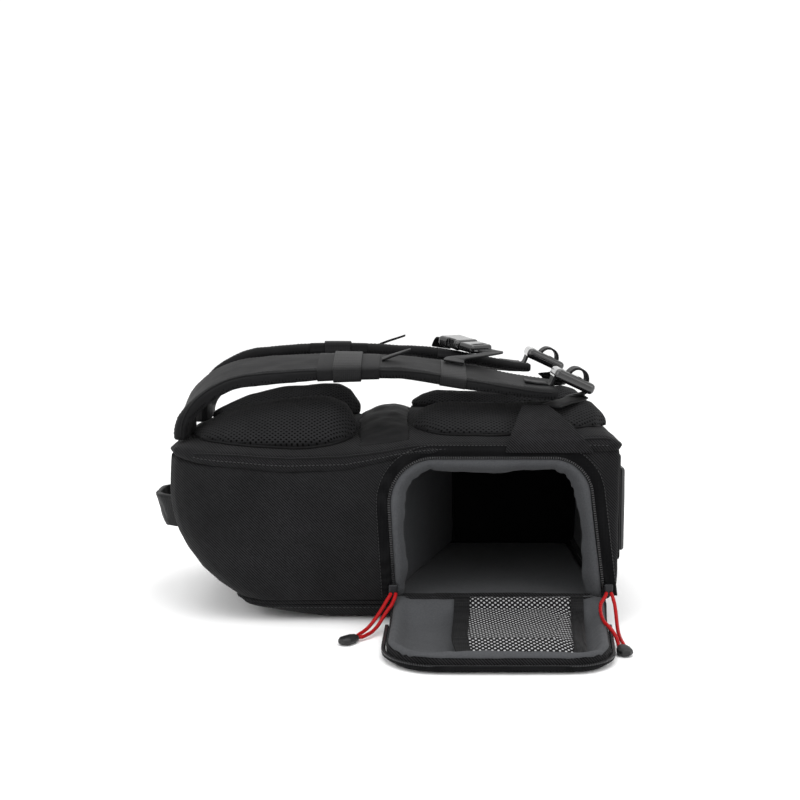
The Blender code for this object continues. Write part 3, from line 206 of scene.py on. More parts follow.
@dataclass(frozen=True)
class ClothFinish:
    """A woven or knitted cloth, coloured by two dyes and lifted by its threads."""

    name: str
    thread: str
    gap: str
    weave: Weave
    pitch: float
    relief: float
    roughness: float = 0.85
    sheen: float = 0.03
    mottle: float = 0.16
    gloss: float = 0.06

    def build(self) -> bpy.types.Material:
        """Make the material.

        Returns:
            The finished material.
        """
        material = bpy.data.materials.new(self.name)
        material.use_nodes = True
        tree = material.node_tree
        shader = tree.nodes["Principled BSDF"]
        shader.inputs["Roughness"].default_value = self.roughness
        shader.inputs["Sheen Weight"].default_value = self.sheen
        shader.inputs["Sheen Roughness"].default_value = 0.5
        shader.inputs["IOR"].default_value = 1.45
        shader.inputs["Specular IOR Level"].default_value = self.gloss
        place = add_node(tree, "ShaderNodeTexCoord").outputs["Object"]
        laid = place
        if self.weave is Weave.KNIT_HOLES:
            laid = add_node(tree, "ShaderNodeAttribute", {"attribute_name": LAY}).outputs["Vector"]
        height = self.threads(tree, laid)
        ramp = add_node(tree, "ShaderNodeMapRange",
                        {"From Min": 0.25, "From Max": 0.75}, {"Value": height})
        cloth = add_node(tree, "ShaderNodeMix",
                         {"data_type": "RGBA", 6: linear(self.gap), 7: linear(self.thread)},
                         {0: ramp.outputs[0]})
        cloud = add_node(tree, "ShaderNodeTexNoise",
                         {"Scale": 1 / (38 * MM), "Detail": 3.0, "Roughness": 0.6},
                         {"Vector": place})
        worn = add_node(tree, "ShaderNodeMapRange",
                        {"From Min": 0.3, "From Max": 0.7,
                         "To Min": 1 - self.mottle, "To Max": 1 + self.mottle},
                        {"Value": cloud.outputs[0]})
        toned = add_node(tree, "ShaderNodeMix",
                         {"data_type": "RGBA", "blend_type": "MULTIPLY", 0: 1.0},
                         {6: cloth.outputs[2], 7: worn.outputs[0]})
        bump = add_node(tree, "ShaderNodeBump",
                        {"Strength": 0.6, "Distance": self.relief}, {"Height": height})
        tree.links.new(toned.outputs[2], shader.inputs["Base Color"])
        tree.links.new(bump.outputs[0], shader.inputs["Normal"])
        return material

    def threads(self, tree: bpy.types.NodeTree,
                place: bpy.types.NodeSocket) -> bpy.types.NodeSocket:
        """Lay the threads, from 0 in their gaps to 1 on their crowns.

        Args:
            tree: Node tree of the material.
            place: Position on the object in metres.

        Returns:
            The socket that carries the thread height.
        """
        if self.weave is Weave.TWILL:
            # Little of y goes in, so the ribs don't crowd where a side curves in
            place = add_node(tree, "ShaderNodeVectorMath",
                             {"operation": "MULTIPLY", 1: (1.0, 0.25, 1.0)},
                             {0: place}).outputs[0]
            wave = add_node(tree, "ShaderNodeTexWave",
                            {"wave_type": "BANDS", "bands_direction": "DIAGONAL",
                             "Scale": 2 * math.pi / (10 * self.pitch), "Distortion": 0.5,
                             "Detail": 1.0, "Detail Scale": 2.0},
                            {"Vector": place})
            return self.broken(tree, place, wave.outputs["Fac"])
        if self.weave is Weave.BRUSHED:
            nap = add_node(tree, "ShaderNodeTexNoise",
                           {"Scale": 1 / self.pitch, "Detail": 4.0, "Roughness": 0.7},
                           {"Vector": place})
            return nap.outputs[0]
        split = add_node(tree, "ShaderNodeSeparateXYZ", links={"Vector": place})
        waves = []
        for axis in range(3):
            turn = add_node(tree, "ShaderNodeMath",
                            {"operation": "MULTIPLY", 1: 2 * math.pi / self.pitch},
                            {0: split.outputs[axis]})
            waves.append(add_node(tree, "ShaderNodeMath", {"operation": "COSINE"},
                                  {0: turn.outputs[0]}))
        if self.weave is Weave.KNIT_HOLES:
            # Holes stand in staggered rows, where the product of both cosines is high
            dots = add_node(tree, "ShaderNodeMath", {"operation": "MULTIPLY"},
                            {0: waves[0].outputs[0], 1: waves[1].outputs[0]})
            return add_node(tree, "ShaderNodeMapRange",
                            {"From Min": 0.62, "From Max": 0.18, "To Min": 0.0, "To Max": 1.0},
                            {"Value": dots.outputs[0]}).outputs[0]
        cross = add_node(tree, "ShaderNodeMath", {"operation": "ADD"},
                         {0: waves[0].outputs[0], 1: waves[1].outputs[0]})
        cross = add_node(tree, "ShaderNodeMath", {"operation": "ADD"},
                         {0: cross.outputs[0], 1: waves[2].outputs[0]})
        level = add_node(tree, "ShaderNodeMapRange",
                         {"From Min": -2.2, "From Max": 2.2}, {"Value": cross.outputs[0]})
        return self.broken(tree, place, level.outputs[0])

    def broken(self, tree: bpy.types.NodeTree, place: bpy.types.NodeSocket,
               height: bpy.types.NodeSocket) -> bpy.types.NodeSocket:
        """Break an even thread pattern up, as uneven yarn does.

        Args:
            tree: Node tree of the material.
            place: Position on the object in metres.
            height: Even thread height.

        Returns:
            The socket of the uneven height.
        """
        slub = add_node(tree, "ShaderNodeTexNoise",
                        {"Scale": 0.7 / self.pitch, "Detail": 2.0}, {"Vector": place})
        mixed = add_node(tree, "ShaderNodeMix", {"data_type": "FLOAT", 0: 0.35},
                         {2: height, 3: slub.outputs[0]})
        return mixed.outputs[0]


@dataclass(frozen=True)
class SolidFinish:
    """A moulded, cast or coated solid with a fine grain."""

    name: str
    colour: str
    roughness: float
    grain: float = 0.6 * MM
    relief: float = 0.02 * MM
    metallic: float = 0.0
    coat: float = 0.0
    tone: float = 0.15

    def build(self) -> bpy.types.Material:
        """Make the material.

        Returns:
            The finished material.
        """
        material = bpy.data.materials.new(self.name)
        material.use_nodes = True
        tree = material.node_tree
        shader = tree.nodes["Principled BSDF"]
        shader.inputs["Metallic"].default_value = self.metallic
        shader.inputs["Coat Weight"].default_value = self.coat
        place = add_node(tree, "ShaderNodeTexCoord").outputs["Object"]
        pits = add_node(tree, "ShaderNodeTexNoise",
                        {"Scale": 1 / self.grain, "Detail": 3.0}, {"Vector": place})
        wear = add_node(tree, "ShaderNodeTexNoise",
                        {"Scale": 1 / (12 * MM), "Detail": 4.0}, {"Vector": place})
        rough = add_node(tree, "ShaderNodeMapRange",
                         {"To Min": max(self.roughness - 0.08, 0.05),
                          "To Max": self.roughness + 0.10}, {"Value": wear.outputs[0]})
        tone = add_node(tree, "ShaderNodeMapRange",
                        {"From Min": 0.3, "From Max": 0.7, "To Min": 1 - self.tone,
                         "To Max": 1 + self.tone},
                        {"Value": wear.outputs[0]})
        colour = add_node(tree, "ShaderNodeMix",
                          {"data_type": "RGBA", "blend_type": "MULTIPLY", 0: 1.0,
                           6: linear(self.colour)}, {7: tone.outputs[0]})
        bump = add_node(tree, "ShaderNodeBump",
                        {"Strength": 0.5, "Distance": self.relief}, {"Height": pits.outputs[0]})
        tree.links.new(colour.outputs[2], shader.inputs["Base Color"])
        tree.links.new(rough.outputs[0], shader.inputs["Roughness"])
        tree.links.new(bump.outputs[0], shader.inputs["Normal"])
        return material


class Finishes:
    """Every finish of the backpack, made once and shared by its pieces."""

    def __init__(self) -> None:
        """Make the materials."""
        # Polyester twill, dyed black: fine diagonal ribs, drawn at 2.4 mm so that they show
        self.twill = ClothFinish("black_polyester_twill", "#252526", "#050506", Weave.TWILL,
                                 2.4 * MM, 0.35 * MM).build()
        # Nylon shell cloth: smoother than the twill, with a slight sheen. Its tight plain
        # weave is drawn at 1.1 mm so that it shows
        self.nylon = ClothFinish("smooth_nylon_cloth", "#121213", "#0b0b0c", Weave.PLAIN,
                                 1.1 * MM, 0.08 * MM, roughness=0.6, sheen=0.02,
                                 gloss=0.12).build()
        # Woven nylon webbing: a little glossier, in a coarse plain weave of 1.6 mm
        self.webbing = ClothFinish("woven_nylon_webbing", "#161617", "#040405", Weave.PLAIN,
                                   1.6 * MM, 0.25 * MM, roughness=0.55, gloss=0.18).build()
        # Zipper tape: knitted, flat and matt. Its courses are drawn at 1.2 mm so that they show
        self.tape = ClothFinish("knitted_zip_tape", "#131314", "#050506", Weave.PLAIN,
                                1.2 * MM, 0.15 * MM).build()
        # Three-layer knitted mesh: staggered dark holes in matt yarn, 4.6 mm apart
        self.air_mesh = ClothFinish("knitted_air_mesh", "#222223", "#000000", Weave.KNIT_HOLES,
                                    4.6 * MM, 1.2 * MM).build()
        # The same mesh with holes 2.6 mm apart, along the straps' edges and undersides
        self.edge_mesh = ClothFinish("knitted_edge_mesh", "#1a1a1b", "#020202",
                                     Weave.KNIT_HOLES, 2.6 * MM, 0.6 * MM).build()
        # Brushed nylon lining: a soft grey nap without a highlight, uneven over 1.4 mm
        self.lining = ClothFinish("brushed_grey_lining", "#4a4b4d", "#3d3e40", Weave.BRUSHED,
                                  1.4 * MM, 0.15 * MM, roughness=0.9, sheen=0.04,
                                  mottle=0.05).build()
        # The same lining on the divider, painted a shade darker as painted shade, since it stands
        # deeper in the compartment
        self.painted_shade_divider_lining = ClothFinish("brushed_divider_lining_painted_shade", "#424345", "#37383a",
                                      Weave.BRUSHED, 1.4 * MM, 0.15 * MM, roughness=0.9,
                                      sheen=0.03, mottle=0.05).build()
        # The same grey lining, painted near black as painted shade deep in the compartment: on the
        # far wall, the ceiling and their bindings
        self.painted_shade_lining = ClothFinish("brushed_lining_painted_shade", "#0d0d0e", "#070708",
                                       Weave.BRUSHED, 1.4 * MM, 0.12 * MM, roughness=0.9).build()
        # Knitted net over grey lining: dark yarn round light holes, 4.6 mm apart
        self.net = ClothFinish("knitted_pocket_net", "#151516", "#a2a2a3", Weave.KNIT_HOLES,
                               4.6 * MM, 0.3 * MM, mottle=0.05).build()
        # Braided polyester cord, dyed red: a bright, slightly glossy braid of 0.9 mm
        self.red_cord = ClothFinish("braided_red_cord", "#b4060a", "#6c0205", Weave.PLAIN,
                                    0.9 * MM, 0.15 * MM, roughness=0.5, sheen=0.02,
                                    mottle=0.08, gloss=0.2).build()
        # Bonded nylon thread: dark grey, a shade lighter than the cloth under it
        self.thread = SolidFinish("bonded_black_thread", "#232324", 0.6).build()
        # Moulded acetal: black and glossy, with a fine grain
        self.acetal = SolidFinish("moulded_acetal", "#0e0e0f", 0.2, coat=0.6).build()
        # Moulded thermoplastic rubber: black, dull and finely grained
        self.rubber = SolidFinish("moulded_rubber", "#0a0a0b", 0.55, relief=0.06 * MM).build()
        # Moulded rubber of the base strip: a lighter grey that catches a wide highlight
        self.base_strip = SolidFinish("moulded_base_strip", "#202122", 0.4).build()
        # Moulded nylon teeth: dark grey and smooth, so that each one catches the light
        self.teeth = SolidFinish("moulded_zip_teeth", "#2a2a2b", 0.22).build()
        # Die-cast slider: black coating over zinc, with a glint of metal
        self.slider = SolidFinish("coated_zinc_slider", "#2c2c2e", 0.32, metallic=0.8).build()
        # Painted studio floor: plain, close to white
        self.floor = SolidFinish("studio_floor", "#fbfbfb", 0.9, relief=0.0001 * MM,
                                 tone=0.0).build()


def link(name: str, data: bpy.types.ID, material: bpy.types.Material) -> bpy.types.Object:
    """Put new data in the scene as an object that rides on the bag.

    Args:
        name: Name of the piece.
        data: Its mesh or curve.
        material: Its finish.

    Returns:
        The new object.
    """
    piece = bpy.data.objects.new(name, data)
    bpy.context.scene.collection.objects.link(piece)
    data.materials.clear()
    data.materials.append(material)
    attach(piece, BODY)
    log.info("piece: %s", name)
    return piece


def cloth_noise(spot: Vector, span: float, seed: float) -> float:
    """Read two octaves of noise, from about -1 to 1, for wrinkles as wide as the span."""
    at = Vector((spot.x + seed, spot.y - seed, spot.z + 2 * seed)) / span
    return noise.noise(at) + 0.4 * noise.noise(at * 2.3)


def applied(piece: bpy.types.Object) -> None:
    """Bake a piece's modifiers into its mesh.

    Args:
        piece: Object whose modifiers are applied and removed.
    """
    graph = bpy.context.evaluated_depsgraph_get()
    mesh = bpy.data.meshes.new_from_object(piece.evaluated_get(graph))
    old = piece.data
    piece.modifiers.clear()
    piece.data = mesh
    bpy.data.meshes.remove(old)


def read_points(mesh: bpy.types.Mesh) -> tuple[np.ndarray, np.ndarray]:
    """Read a mesh's points.

    Args:
        mesh: Mesh to read.

    Returns:
        The places and the normals of its points, a row each.
    """
    spots = np.zeros(len(mesh.vertices) * 3, np.float32)
    normals = np.zeros(len(mesh.vertices) * 3, np.float32)
    mesh.vertices.foreach_get("co", spots)
    mesh.vertices.foreach_get("normal", normals)
    return spots.reshape(-1, 3), normals.reshape(-1, 3)


def wrinkled(mesh: bpy.types.Mesh, node: str, height: float, span: float) -> None:
    """Move each point along its normal by smooth noise, and keep it off the floor.

    Args:
        mesh: Mesh to change.
        node: Name of the solid, which tells its noise from the others'.
        height: Height of a wrinkle in metres.
        span: Width of a wrinkle in metres.
    """
    seed = len(node) * SEED_STEP
    spots, normals = read_points(mesh)
    heights = np.array([cloth_noise(Vector(spot), span, seed) for spot in spots.tolist()])
    spots += normals * (heights * height)[:, None].astype(np.float32)
    spots[:, 2] = np.maximum(spots[:, 2], 0.0)
    mesh.vertices.foreach_set("co", spots.ravel())
    mesh.update()


def finished(piece: bpy.types.Object, material: bpy.types.Material,
             nodes: tuple[str, ...]) -> None:
    """Give a remade piece its one finish, and let it stand for its solids.

    Args:
        piece: Piece whose mesh is done.
        material: Its finish.
        nodes: Solids that it replaces.
    """
    piece.data.materials.clear()
    piece.data.materials.append(material)
    piece.data.shade_smooth()
    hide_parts(*nodes)


def lay_cloth(piece: bpy.types.Object, flat: bool = False) -> None:
    """Store how the knit lies on a piece, so that it doesn't stretch down its sides.

    Args:
        piece: Finished piece.
        flat: True for a sheet that has no sides.
    """
    spots, normals = read_points(piece.data)
    top = spots[:, 2].max()
    laid = spots.copy()
    if not flat:
        laid[:, 1] -= np.sign(normals[:, 1]) * (spots[:, 2] - top)
    laid[:, 2] = 0.0
    layer = piece.data.attributes.new(LAY, "FLOAT_VECTOR", "POINT")
    layer.data.foreach_set("vector", laid.ravel())


@dataclass
class SoftSolid:
    """Soft solids of the frame, remeshed together into cloth with rounded, uneven edges."""

    nodes: tuple[str, ...]
    material: bpy.types.Material
    name: str = ""
    grain: float = 2.4 * MM
    smooth: int = 4
    wrinkle: float = 0.5 * MM
    span: float = 30 * MM
    fill: float | None = 0.8
    grow: float = 0.0
    press: float = 0.0
    pressure: float = 4.0
    frames: int = 20

    def build(self) -> bpy.types.Object:
        """Copy the solids' meshes, remesh them, soften them and wrinkle them.

        Returns:
            The piece that replaces the solids.
        """
        name = self.name or "soft_" + self.nodes[0]
        piece = link(name, self.joined(name), self.material)
        remesh = piece.modifiers.new("remesh", "REMESH")
        remesh.mode = "VOXEL"
        remesh.voxel_size = self.grain
        applied(piece)
        if self.press:
            self.pressed(piece)
        if self.smooth:
            relax = piece.modifiers.new("relax", "SMOOTH")
            relax.iterations = self.smooth
            relax.factor = 0.5
            applied(piece)
        wrinkled(piece.data, self.nodes[0], self.wrinkle, self.span)
        finished(piece, self.material, self.nodes)
        lay_cloth(piece)
        return piece

    def joined(self, name: str) -> bpy.types.Mesh:
        """Join the solids' meshes, each grown a little so that their seams close.

        Args:
            name: Name of the mesh.

        Returns:
            The joined mesh.
        """
        work = bmesh.new()
        for node in self.nodes:
            part = bmesh.new()
            part.from_mesh(frame["nodes"][node].data)
            bmesh.ops.remove_doubles(part, verts=part.verts, dist=WELD)
            part.normal_update()
            for vertex in part.verts:
                vertex.co += vertex.normal * self.grow
            mesh = bpy.data.meshes.new("part")
            part.to_mesh(mesh)
            part.free()
            work.from_mesh(mesh)
            bpy.data.meshes.remove(mesh)
        mesh = bpy.data.meshes.new(name)
        work.to_mesh(mesh)
        work.free()
        return mesh

    def pressed(self, piece: bpy.types.Object) -> None:
        """Let air pressure fill the cloth, and cap how far each point moves.

        Args:
            piece: The remeshed piece.
        """
        before, _ = read_points(piece.data)
        cloth = piece.modifiers.new("cloth", "CLOTH")
        cloth.settings.use_pressure = True
        cloth.settings.uniform_pressure_force = self.pressure
        cloth.settings.effector_weights.gravity = 0.0
        for number in range(1, self.frames + 1):
            bpy.context.scene.frame_set(number)
        applied(piece)
        bpy.context.scene.frame_set(1)
        after, _ = read_points(piece.data)
        move = after - before
        reach = np.maximum(np.linalg.norm(move, axis=1), 1e-9)
        move *= (np.minimum(reach, self.press) / reach)[:, None]
        piece.data.vertices.foreach_set("co", (before + move).ravel())
        piece.data.update()
        log.info("%s: pressed out by %.2f mm on average", piece.name, float(reach.mean()) / MM)


@dataclass
class ThinSolid:
    """A thin band, strip or sheet of the frame, subdivided with softened edges."""

    node: str
    material: bpy.types.Material
    levels: int = 2
    crease: float = 0.55
    sharp: float = 35.0
    wrinkle: float = 0.0
    span: float = 14 * MM

    def build(self) -> bpy.types.Object:
        """Copy the solid's mesh, join its triangles and subdivide it.

        Returns:
            The piece that replaces the solid.
        """
        piece = link("soft_" + self.node, frame["nodes"][self.node].data.copy(), self.material)
        work = bmesh.new()
        work.from_mesh(piece.data)
        bmesh.ops.remove_doubles(work, verts=work.verts, dist=WELD)
        bmesh.ops.join_triangles(work, faces=work.faces, angle_face_threshold=JOIN_BEND,
                                 angle_shape_threshold=JOIN_SKEW)
        layer = work.edges.layers.float.new("crease_edge")
        for edge in work.edges:
            if len(edge.link_faces) == 2 and edge.calc_face_angle() > math.radians(self.sharp):
                edge[layer] = self.crease
        work.to_mesh(piece.data)
        work.free()
        divide = piece.modifiers.new("divide", "SUBSURF")
        divide.levels = self.levels
        divide.render_levels = self.levels
        applied(piece)
        if self.wrinkle:
            wrinkled(piece.data, self.node, self.wrinkle, self.span)
        finished(piece, self.material, (self.node,))
        lay_cloth(piece)
        return piece


class Surface:
    """Finds places on a finished piece or on a solid of the frame."""

    def __init__(self, source: bpy.types.Object) -> None:
        """Read the mesh.

        Args:
            source: Object whose surface is searched.
        """
        mesh = source.data
        corners = [vertex.co.copy() for vertex in mesh.vertices]
        faces = [tuple(face.vertices) for face in mesh.polygons]
        self.tree = BVHTree.FromPolygons(corners, faces)

    def hit(self, start: Vector, heading: Vector) -> Vector | None:
        """Cast a ray and return the first place that it meets, or None."""
        return self.tree.ray_cast(start, heading)[0]

    def nearest(self, spot: Vector) -> tuple[Vector, Vector]:
        """Find the nearest place and the surface's normal there."""
        place, normal, _, _ = self.tree.find_nearest(spot)
        return place, normal

    def trace(self, starts: list[Vector], heading: Vector) -> list[Vector]:
        """Cast a row of rays and return the places that they meet, in order."""
        found = [self.hit(start, heading) for start in starts]
        return [place for place in found if place is not None]


def even_steps(line: list[Vector], pitch: float) -> list[tuple[Vector, Vector]]:
    """Walk along a line in even steps.

    Args:
        line: Corners of the line.
        pitch: Length of a step.

    Returns:
        Each step's place and the line's direction there.
    """
    steps = []
    left = 0.0
    for start, end in zip(line, line[1:]):
        run = end - start
        length = run.length
        if length < 1e-7:
            continue
        along = run / length
        at = left
        while at < length:
            steps.append((start + along * at, along))
            at += pitch
        left = at - length
    return steps


@dataclass
class Stitching:
    """A row of sewn stitches that lies on a surface."""

    name: str
    line: list[Vector]
    surface: Surface
    material: bpy.types.Material
    pitch: float = 3.4 * MM
    length: float = 2.2 * MM
    radius: float = 0.24 * MM

    def build(self) -> bpy.types.Object | None:
        """Lay one small spindle for each stitch.

        Returns:
            The row as one piece, or None where the line is too short.
        """
        points: list[Vector] = []
        faces: list[tuple[int, ...]] = []
        for spot, along in even_steps(self.line, self.pitch):
            place, normal = self.surface.nearest(spot)
            side = along.cross(normal).normalized()
            ahead = normal.cross(side).normalized()
            self.spindle(place + normal * self.radius * 0.3, ahead, side, normal, points, faces)
        if not faces:
            return None
        mesh = bpy.data.meshes.new(self.name)
        mesh.from_pydata(points, [], faces)
        mesh.shade_smooth()
        return link(self.name, mesh, self.material)

    def spindle(self, middle: Vector, ahead: Vector, side: Vector, up: Vector,
                points: list[Vector], faces: list[tuple[int, ...]]) -> None:
        """Add one stitch.

        Args:
            middle: Its centre.
            ahead: Its direction.
            side: Across it, on the surface.
            up: Off the surface.
            points: Corners so far, added to.
            faces: Faces so far, added to.
        """
        sides = 6
        first = len(points)
        for share, wide in ((-0.5, 0.35), (-0.25, 1.0), (0.25, 1.0), (0.5, 0.35)):
            drop = -0.7 if abs(share) == 0.5 else 0.0
            for turn in range(sides):
                angle = 2 * math.pi * turn / sides
                points.append(middle + ahead * self.length * share
                              + (side * math.cos(angle) + up * (math.sin(angle) + drop))
                              * self.radius * wide)
        for ring in range(3):
            for turn in range(sides):
                after = (turn + 1) % sides
                low = first + ring * sides
                faces.append((low + turn, low + after, low + sides + after, low + sides + turn))
        faces.append(tuple(first + turn for turn in reversed(range(sides))))
        faces.append(tuple(first + 3 * sides + turn for turn in range(sides)))


def tube(name: str, line: list[Vector], radius: float,
         material: bpy.types.Material) -> bpy.types.Object:
    """Make a round cord or piping along a line.

    Args:
        name: Name of the piece.
        line: Points that it follows.
        radius: Its radius.
        material: Its finish.

    Returns:
        The curve object.
    """
    curve = bpy.data.curves.new(name, "CURVE")
    curve.dimensions = "3D"
    curve.bevel_depth = radius
    curve.bevel_resolution = 3
    curve.use_fill_caps = True
    spline = curve.splines.new("POLY")
    spline.points.add(len(line) - 1)
    for point, spot in zip(spline.points, line):
        point.co = (*spot, 1.0)
    spline.use_smooth = True
    return link(name, curve, material)


def rounded(points: list[Vector], steps: int) -> list[Vector]:
    """Draw a smooth curve through points.

    Args:
        points: Corners to pass through.
        steps: Points per stretch.

    Returns:
        The curve's points.
    """
    line = []
    for index in range(len(points) - 1):
        before = points[max(index - 1, 0)]
        start = points[index]
        end = points[index + 1]
        after = points[min(index + 2, len(points) - 1)]
        for step in range(steps):
            share = step / steps
            line.append(0.5 * (2 * start + (end - before) * share
                               + (2 * before - 5 * start + 4 * end - after) * share ** 2
                               + (3 * start - before - 3 * end + after) * share ** 3))
    line.append(points[-1])
    return line


def sheet_mesh(name: str, rows: list[list[Vector]], wall: float,
               material: bpy.types.Material) -> bpy.types.Object:
    """Make a thin cloth sheet from a grid of points on its upper face.

    Args:
        name: Name of the piece.
        rows: Grid of points.
        wall: Thickness.
        material: Its finish.

    Returns:
        The sheet.
    """
    width = len(rows[0])
    mesh = bpy.data.meshes.new(name)
    faces = [(row * width + place, row * width + place + 1,
              (row + 1) * width + place + 1, (row + 1) * width + place)
             for row in range(len(rows) - 1) for place in range(width - 1)]
    mesh.from_pydata([spot for row in rows for spot in row], [], faces)
    mesh.update()
    up = sum((face.normal.z for face in mesh.polygons), 0.0)
    piece = link(name, mesh, material)
    thick = piece.modifiers.new("wall", "SOLIDIFY")
    thick.thickness = wall
    thick.offset = -1 if up > 0 else 1
    applied(piece)
    piece.data.shade_smooth()
    return piece


@dataclass
class OpeningShape:
    """The side opening's outline, with the sizes of the solid model."""

    head_x: float = -2.15 * MM
    base_x: float = 175.35 * MM
    sill: float = 23.5 * MM
    height: float = 118 * MM
    lean_head: float = 7 * MM
    lean_base: float = 15 * MM
    radius_head: float = 42 * MM
    radius_base: float = 30 * MM
    door_length: float = 137 * MM

    def span(self, share: float) -> tuple[float, float]:
        """Find both ends of the opening at a height.

        Args:
            share: Share of its height.

        Returns:
            Head end x and base end x.
        """
        rise = share * self.height

        def inset(radius: float) -> float:
            """Give how far a rounded corner of that radius cuts in."""
            above = max(rise - (self.height - radius), 0.0)
            return radius - math.sqrt(max(radius ** 2 - above ** 2, 0.0))

        head = self.head_x - self.lean_head * share + inset(self.radius_head)
        base = self.base_x - self.lean_base * share - inset(self.radius_base)
        return head, base

    def shares(self, steps: int) -> list[float]:
        """Give shares of the height, close together round the corners.

        Args:
            steps: How many up the straight part, and as many round the corner.

        Returns:
            The shares, from 0 to 1.
        """
        straight = 1 - self.radius_head / self.height
        low = [straight * step / steps for step in range(steps)]
        high = [straight + (1 - straight) * math.sin(math.pi / 2 * step / steps)
                for step in range(steps + 1)]
        return low + high

    def outline(self, steps: int = 14, inset: float = 0.0) -> list[tuple[float, float]]:
        """Walk round the opening from the sill, over the top and down to the sill.

        Args:
            steps: Points for each straight and each corner.
            inset: How far the line is moved into the opening.

        Returns:
            Points (x, z).
        """
        shares = self.shares(steps)
        line = [(self.span(s)[0], self.sill + s * self.height) for s in shares]
        right = [(self.span(s)[1], self.sill + s * self.height) for s in reversed(shares)]
        flat = [(line[-1][0] + (right[0][0] - line[-1][0]) * k / 12, line[-1][1])
                for k in range(1, 12)]
        line += flat + right
        moved = []
        for index, (x, z) in enumerate(line):
            before = line[max(index - 1, 0)]
            after = line[min(index + 1, len(line) - 1)]
            run = Vector((after[0] - before[0], after[1] - before[1])).normalized()
            moved.append((x + run.y * inset, z - run.x * inset))
        return moved


@dataclass
class BagBody:
    """The bag's shell, back, front pocket, base and grab handle."""

    finishes: Finishes
    piping: float = 1.1 * MM
    piping_share: float = 0.86
    seam_share: float = 0.46
    band_x: float = 0.176
    band_y: float = 0.1185
    band_samples: int = 90
    pocket_x: float = -0.118
    pocket_run: float = 0.286
    pocket_seam_z: float = 0.0118
    pocket_samples: int = 71
    pieces: dict[str, bpy.types.Object] = field(default_factory=dict)

    def build(self) -> None:
        """Make the shell and the parts sewn to it, then the rows on them."""
        cloth = self.finishes.twill
        self.pieces["shell"] = SoftSolid(
            ("side_panel_near", "side_panel_far", "head_panel", "base_panel"), cloth,
            name="bag_shell", grain=2.2 * MM, smooth=3, grow=1.0 * MM, wrinkle=0.9 * MM,
            span=42 * MM).build()
        self.pieces["back"] = SoftSolid(("back_panel",), cloth, grain=2.2 * MM, smooth=9,
                                        grow=1.0 * MM, wrinkle=0.8 * MM, span=34 * MM).build()
        self.pieces["pocket"] = SoftSolid(("front_pocket",), cloth, grain=2.4 * MM,
                                          grow=0.5 * MM, wrinkle=1.1 * MM, span=40 * MM).build()
        SoftSolid(("front_panel",), cloth, grain=1.9 * MM, smooth=1, grow=0.8 * MM,
                  wrinkle=0.15 * MM).build()
        SoftSolid(("base_plate",), self.finishes.nylon, grain=1.6 * MM, smooth=2,
                  wrinkle=0.3 * MM).build()
        SoftSolid(("base_pad",), self.finishes.base_strip, grain=1.6 * MM, smooth=3,
                  wrinkle=0.2 * MM).build()
        SoftSolid(("grab_handle",), self.finishes.webbing, grain=1.2 * MM, smooth=3,
                  grow=1.7 * MM, wrinkle=1.2 * MM, span=14 * MM).build()
        self.sew()
        log.info("body: shell, back, pocket, base and handle")

    def band_line(self, surface: Surface, side: int, share: float) -> list[Vector]:
        """Trace a line round the rolled band at a share of its height.

        Args:
            surface: The back's surface.
            side: NEAR or FAR.
            share: 0 at the band's lower edge, 1 at its upper one.

        Returns:
            The line's points, from the head end to the base end.
        """
        line = []
        out = side * self.band_y
        for step in range(self.band_samples):
            x = -self.band_x + 2 * self.band_x * step / (self.band_samples - 1)
            low = surface.hit(Vector((x, out, 0.0)), -DOWN)
            high = surface.hit(Vector((x, out, ABOVE)), DOWN)
            if low is None or high is None:
                continue
            z = low.z + (high.z - low.z) * share
            place = surface.hit(Vector((x, side * OUTSIDE, z)), Vector((0, -side, 0)))
            if place is not None:
                line.append(place)
        return line

    def sew(self) -> None:
        """Lay the piping and the stitched rows round the rolled band and the pocket."""
        thread = self.finishes.thread
        back = Surface(self.pieces["back"])
        pocket = Surface(self.pieces["pocket"])
        for side, tag in SIDES:
            edge = self.band_line(back, side, self.piping_share)
            tube("band_piping_" + tag, edge, self.piping, self.finishes.nylon)
            seam = self.band_line(back, side, self.seam_share)
            Stitching(f"band_stitches_{tag}_0", seam, back, thread).build()
            starts = [Vector((self.pocket_x + self.pocket_run * step / (self.pocket_samples - 1),
                              side * OUTSIDE, self.pocket_seam_z))
                      for step in range(self.pocket_samples)]
            places = pocket.trace(starts, Vector((0, -side, 0)))
            Stitching("pocket_stitches_" + tag, places, pocket, thread).build()


